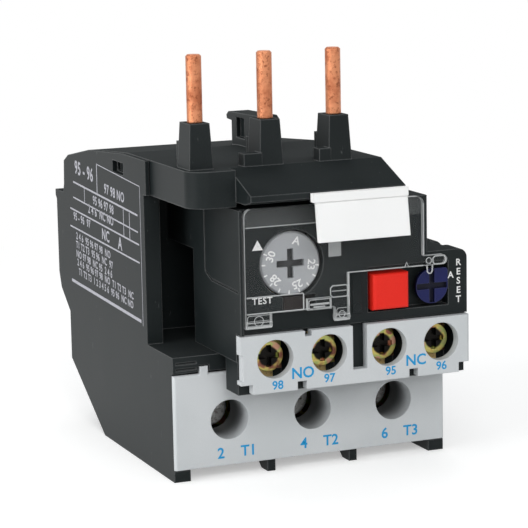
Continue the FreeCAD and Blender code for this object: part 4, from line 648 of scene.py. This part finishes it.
# %% [markdown]
# ## The table on the left side
# The side carries a printed table: long rulings with rows of small figures between them. Only its plain
# layout matters here, so the rows hold terminal numbers and nothing else. Rulings are thin plates, and each
# row is a single text, because its figures stand in one line. The table leans a little with the housing.

# %% Rulings of the side table
def ruling(name, y0, z0, y1, z1, thick):
    """A printed line on the side face between two points."""
    run = math.hypot(y1 - y0, z1 - z0)
    lean = math.degrees(math.atan2(z1 - z0, y0 - y1))
    corners = rectangle(run / 2, thick / 2)
    middle = at(0.0, (y0 + y1) / 2, (z0 + z1) / 2)
    flat_shape(name, corners, LIFT, middle, pale_ink, facing=LEFT, turn=lean)


LINES = [
    ("side_line_1", 45.4, 40.2, 13.8, 38.8, 0.3),
    ("side_line_2", 45.6, 37.6, 13.8, 36.2, 0.24),
    ("side_line_3", 47.4, 35.6, 13.4, 34.3, 0.26),
    ("side_line_4", 47.6, 32.6, 13.4, 31.5, 0.26),
    ("side_line_5", 47.8, 23.4, 13.4, 22.4, 0.5),
    ("side_edge_top", 32.6, 44.5, 12.6, 43.4, 0.14),
    ("side_edge_front", 12.5, 43.4, 12.6, 21.8, 0.14),
    ("side_rule_1", 32.9, 44.6, 33.0, 39.7, 0.3),
    ("side_rule_2", 39.6, 39.8, 39.6, 37.5, 0.22),
    ("side_rule_3", 20.4, 38.9, 20.4, 34.6, 0.22),
    ("side_rule_4", 17.6, 38.7, 17.6, 34.5, 0.22),
]
for line in LINES:
    ruling(*line)
print("side table:", len(LINES), "rulings")

# %% Rows of the side table
side_ink = -LIFT / 2
table_lean = -2.4
ROWS = [
    ("side_row_1", "95 - 96", 39.6, 42.5, 2.1),
    ("side_row_2", "97 98 NO", 24.6, 40.8, 1.5),
    ("side_row_3", "95 96 97 98", 30.2, 38.2, 1.35),
    ("side_row_4", "2 4 6  NC NO", 31.6, 36.4, 1.35),
    ("side_row_5", "95 - 96  97", 41.4, 34.3, 1.25),
    ("side_row_6", "NC", 29.4, 33.4, 1.7),
    ("side_row_7", "A", 22.4, 33.1, 1.9),
    ("side_row_8", "2 4 6  95 96 97 98  NO", 36.0, 30.9, 1.15),
    ("side_row_9", "T1 T2 T3  95 96  NC  97", 35.6, 29.4, 1.15),
    ("side_row_10", "NO 97 98  NC 95  2 4 6", 35.8, 27.9, 1.15),
    ("side_row_11", "2 4 6  95 96 97 98  NO  T1 T2 T3  NC", 30.6, 26.3, 1.1),
    ("side_row_12", "T1 T2 T3  1 2 3 4 5 6  95 96  NC NO", 30.4, 24.8, 1.1),
]
for name, words, y, z, tall in ROWS:
    mark(name, words, at(side_ink, y, z), tall, pale_ink, facing=LEFT, turn=table_lean, wide=1.08)
print("side table:", len(ROWS), "rows")

# %% [markdown]
# ## Details of the clear window
# The window has fine ridges where its mould was split: a band across its lower left part, a frame round
# the finger lift, a ring on each hinge ear and one by the lifting tab, and a small hook under the tab. Each
# ridge is a thin tube bent along its line and sunk a little into the window, so that its crest shows.

# %% A bent tube
def tube(name, points, thick, depth, closed, body, material, resolution=4, caps=False):
    """A thin round tube through points (x, z) at one depth, tied to its body.

    All settings come before the curve is linked: changed after that, its measured box comes out far too large.
    """
    line = bpy.data.curves.new(name, "CURVE")
    line.dimensions = "3D"
    line.bevel_depth = thick * MM
    line.bevel_resolution = resolution
    line.use_fill_caps = caps
    path = line.splines.new("POLY")
    path.points.add(len(points) - 1)
    for point, (x, z) in zip(path.points, points):
        point.co = (*at(x, depth, z), 1.0)
    path.use_cyclic_u = closed
    thing = bpy.data.objects.new(name, line)
    bpy.context.scene.collection.objects.link(thing)
    line.materials.append(material)
    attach(thing, body)


def ring_points(x, z, radius, steps=20):
    """A circle as evenly spaced points."""
    angles = [math.tau * i / steps for i in range(steps)]
    return [(x + radius * math.cos(a), z + radius * math.sin(a)) for a in angles]


def box_points(left, low, right, high, corner=0.25):
    """A rectangle with cut corners."""
    inner_left, inner_right = left + corner, right - corner
    inner_low, inner_high = low + corner, high - corner
    bottom = [(inner_left, low), (inner_right, low)]
    right_side = [(right, inner_low), (right, inner_high)]
    top = [(inner_right, high), (inner_left, high)]
    left_side = [(left, inner_high), (left, inner_low)]
    return bottom + right_side + top + left_side


print("a ring has", len(ring_points(0.0, 0.0, 1.0)), "points, a box", len(box_points(0.0, 0.0, 1.0, 1.0)))

# %% Ridges and rings of the window
window_face = -9.3
lift_face = -10.1
SUNK = 0.3  # how far a ridge lies behind the face, as a share of its radius


def ridge(name, points, thick, closed=False, face=window_face):
    """A rounded ridge along points (x, z) on one face of the window."""
    depth = face + thick * SUNK
    tube(name, points, thick, depth, closed, "window", ridge_clear, resolution=2, caps=True)


ridge("window_top_ridge", [(8.35, 39.35), (20.6, 39.35)], 0.08)
ridge("window_band_ridge", [(8.35, 29.05), (17.2, 29.05), (17.35, 28.9), (17.35, 26.6)], 0.11)
ridge("window_foot_ridge", [(8.35, 26.62), (17.3, 26.62)], 0.1)
ridge("window_ear_left", box_points(8.4, 24.5, 12.1, 26.35), 0.06, closed=True)
ridge("window_ear_right", box_points(22.65, 24.5, 24.65, 26.3), 0.06, closed=True)
step_run = [(24.68, 26.4), (24.68, 31.5), (33.9, 31.5), (34.2, 32.2), (34.5, 31.5), (37.0, 31.5)]
ridge("window_step_ridge", step_run, 0.1)
ridge("window_right_ridge", [(37.05, 33.0), (37.05, 40.9)], 0.09)
ridge("window_bar_ridge", box_points(21.7, 28.0, 24.6, 29.7, 0.35), 0.1, closed=True)
ridge("window_bar_line", [(21.9, 28.9), (24.4, 28.9)], 0.07)
ridge("window_ring_left", ring_points(10.2, 25.5, 0.72), 0.06, closed=True)
ridge("window_ring_right", ring_points(23.5, 25.35, 0.5), 0.07, closed=True)
ridge("window_ring_tab", ring_points(37.9, 32.15, 0.45), 0.08, closed=True)
ridge("window_tab_frame", box_points(38.6, 31.55, 40.75, 32.75, 0.3), 0.1, closed=True)
hook_run = [(37.6, 31.5), (37.65, 30.5), (37.9, 30.2), (38.2, 30.2), (38.45, 30.5), (38.5, 31.5)]
ridge("window_hook", hook_run, 0.12)
ridge("lift_frame", box_points(17.85, 26.65, 21.35, 28.05), 0.08, closed=True, face=lift_face)
ridge("lift_grip", [(18.1, 27.35), (21.1, 27.35)], 0.16, face=lift_face)
ridge("lift_grip_low", [(18.6, 26.95), (20.4, 26.95)], 0.12, face=lift_face)
block_place = at(23.0, -7.98, 35.0)
window_ride = {"body": "window", "slot": "clear_plastic"}
flat_shape("window_block", rectangle(1.0, 1.15), 0.3, block_place, block_clear, **window_ride)
added = [o.name for o in bpy.data.objects if o.name.startswith(("window_", "lift_")) and o.name not in nodes]
print("window details:", len(added))

# %% [markdown]
# ## The rough strip beside the stop button
# Between the window's foot and the stop button the moulding has a raised strip, left rough by the mould so
# that a finger finds it. It is a low plate with softened edges, and its grain is deeper than the housing's.
# A thin ring at its foot is the round mark that a mould's ejector pin leaves.

# %% Rough strip and the mould's round mark
strip_x, strip_thick = 26.6, 0.22
flat_shape("finger_strip", rectangle(0.8, 3.15), strip_thick, at(strip_x, panel, 28.1), rough_black)
mould_mark = ring_points(strip_x, 25.9, 0.62)
tube("strip_ring", mould_mark, 0.06, panel - strip_thick, True, "relay", rough_black)
print("strip at", strip_x, "mm, with a round mark of", len(mould_mark), "points")

# %% [markdown]
# ## Studio
# A pale floor and a white surround, lit by large soft lamps. The strongest stands on the left, as the left
# side of the housing is the brighter one. A slightly weaker one fills the front from above, and the weakest
# lights the top from behind. The surround is white to the eye and in reflections, and a third as strong as
# a light, so that the lamps still shape the object.


# %% Floor
PURE_WHITE = (1.0, 1.0, 1.0, 1.0)
# The floor keeps its shadows up to the first distance from the middle, in metres, and none past the second.
SHADOW_REACH = (0.06, 0.2)


def seen_directly(finish):
    """1 for rays that the eye follows: straight, reflected or passed through something clear."""
    straight = finish.node("ShaderNodeLightPath", output="Is Camera Ray")
    outputs = straight.socket.node.outputs
    glossy = Value(finish, outputs["Is Glossy Ray"])
    through = Value(finish, outputs["Is Transmission Ray"])
    return straight.most(glossy).most(through)


def pale_floor(name, colour, strength):
    """Lit as a pale floor, and lifted towards white only for the eye."""
    finish = Finish(name)
    finish.surface(Base_Color=solid(colour))
    finish.shader.inputs["Roughness"].default_value = 0.9
    finish.shader.inputs["Specular IOR Level"].default_value = 0.0
    glow = finish.node("ShaderNodeEmission", inputs={"Color": PURE_WHITE, "Strength": strength})
    lit = Value(finish, finish.shader.outputs[0])
    both = finish.node("ShaderNodeAddShader", inputs={0: lit, 1: glow})
    plain = finish.node("ShaderNodeEmission", inputs={"Color": PURE_WHITE, "Strength": 1.0})
    away = finish.node("ShaderNodeVectorMath", {"operation": "LENGTH"}, {0: finish.place()}, output="Value")
    far = finish.ease(away, *SHADOW_REACH)
    faded = finish.node("ShaderNodeMixShader", inputs={0: far, 1: both, 2: plain})
    mixed = finish.node("ShaderNodeMixShader", inputs={0: seen_directly(finish), 1: lit, 2: faded})
    end = finish.tree.nodes["Material Output"]
    finish.tree.links.new(mixed.socket, end.inputs["Surface"])
    return finish.material


bpy.ops.mesh.primitive_plane_add(size=6.0, location=(0.0, 0.0, 0.0))
floor = bpy.context.object
floor.name = "floor"
floor.data.materials.append(pale_floor("pale floor", (0.8, 0.8, 0.79), 0.4))
print("floor", round(floor.dimensions.x, 1), "m wide")

# %% Surround
world = bpy.data.worlds.new("surround")
bpy.context.scene.world = world
world.use_nodes = True


class Surround(Finish):
    """The world's node tree, written with the same arithmetic; it has no Principled shader."""

    def __init__(self, tree):
        self.tree = tree


air = Surround(world.node_tree)
soft = air.tree.nodes["Background"]
soft.inputs["Color"].default_value = (0.93, 0.96, 1.0, 1.0)
soft.inputs["Strength"].default_value = 0.35
bright = air.node("ShaderNodeBackground", inputs={"Color": PURE_WHITE, "Strength": 1.0})
light = Value(air, soft.outputs[0])
choose = air.node("ShaderNodeMixShader", inputs={0: seen_directly(air), 1: light, 2: bright})
air.tree.links.new(choose.socket, air.tree.nodes["World Output"].inputs["Surface"])
print("surround:", len(air.tree.nodes), "nodes")


# %% Lamps
AIM = Vector((0.0, 0.0, 0.03))


def lamp(name, place, size, power):
    """A soft lamp of a size in metres and a power in watts, turned to the middle of the relay."""
    data = bpy.data.lights.new(name, "AREA")
    data.shape = "RECTANGLE"
    data.size, data.size_y = size
    data.energy = power
    thing = bpy.data.objects.new(name, data)
    thing.location = place
    thing.rotation_euler = (AIM - Vector(place)).to_track_quat("-Z", "Y").to_euler()
    bpy.context.scene.collection.objects.link(thing)


lamp("left softbox", (-0.6, -0.1, 0.2), (0.5, 0.5), 2.9)
lamp("front softbox", (-0.1, -0.65, 0.4), (0.5, 0.4), 2.6)
lamp("top softbox", (0.05, 0.25, 0.6), (0.5, 0.5), 1.1)
print("lamps:", len(bpy.data.lights))

# %% [markdown]
# ## Camera
# A long lens from the front left, a little above: it keeps the upright edges nearly parallel. Three angles
# give the camera's own axes: how far it is turned round the relay, raised above it and tipped to one side.

# %% Camera
turn, rise, roll = math.radians(22.476), math.radians(9.917), math.radians(-1.111)
stand = at(-112.63, -308.93, 90.8)
back = Vector((-math.sin(turn) * math.cos(rise), -math.cos(turn) * math.cos(rise), math.sin(rise)))
level = Vector((math.cos(turn), -math.sin(turn), 0.0))
upright = back.cross(level)
right = level * math.cos(roll) + upright * math.sin(roll)
up = upright * math.cos(roll) - level * math.sin(roll)
axes = Matrix((right, up, back)).transposed().to_4x4()
camera_data = bpy.data.cameras.new("camera")
camera_data.sensor_width = 36.0
camera_data.lens = 154.49
camera_data.shift_x = -0.0021
camera_data.shift_y = -0.0027
camera_data.clip_start = 0.01
camera = bpy.data.objects.new("camera", camera_data)
camera.matrix_world = Matrix.Translation(stand) @ axes
bpy.context.scene.collection.objects.link(camera)
bpy.context.scene.camera = camera
bpy.context.scene.view_settings.view_transform = "Standard"
print("camera at", [round(v, 3) for v in camera.location])
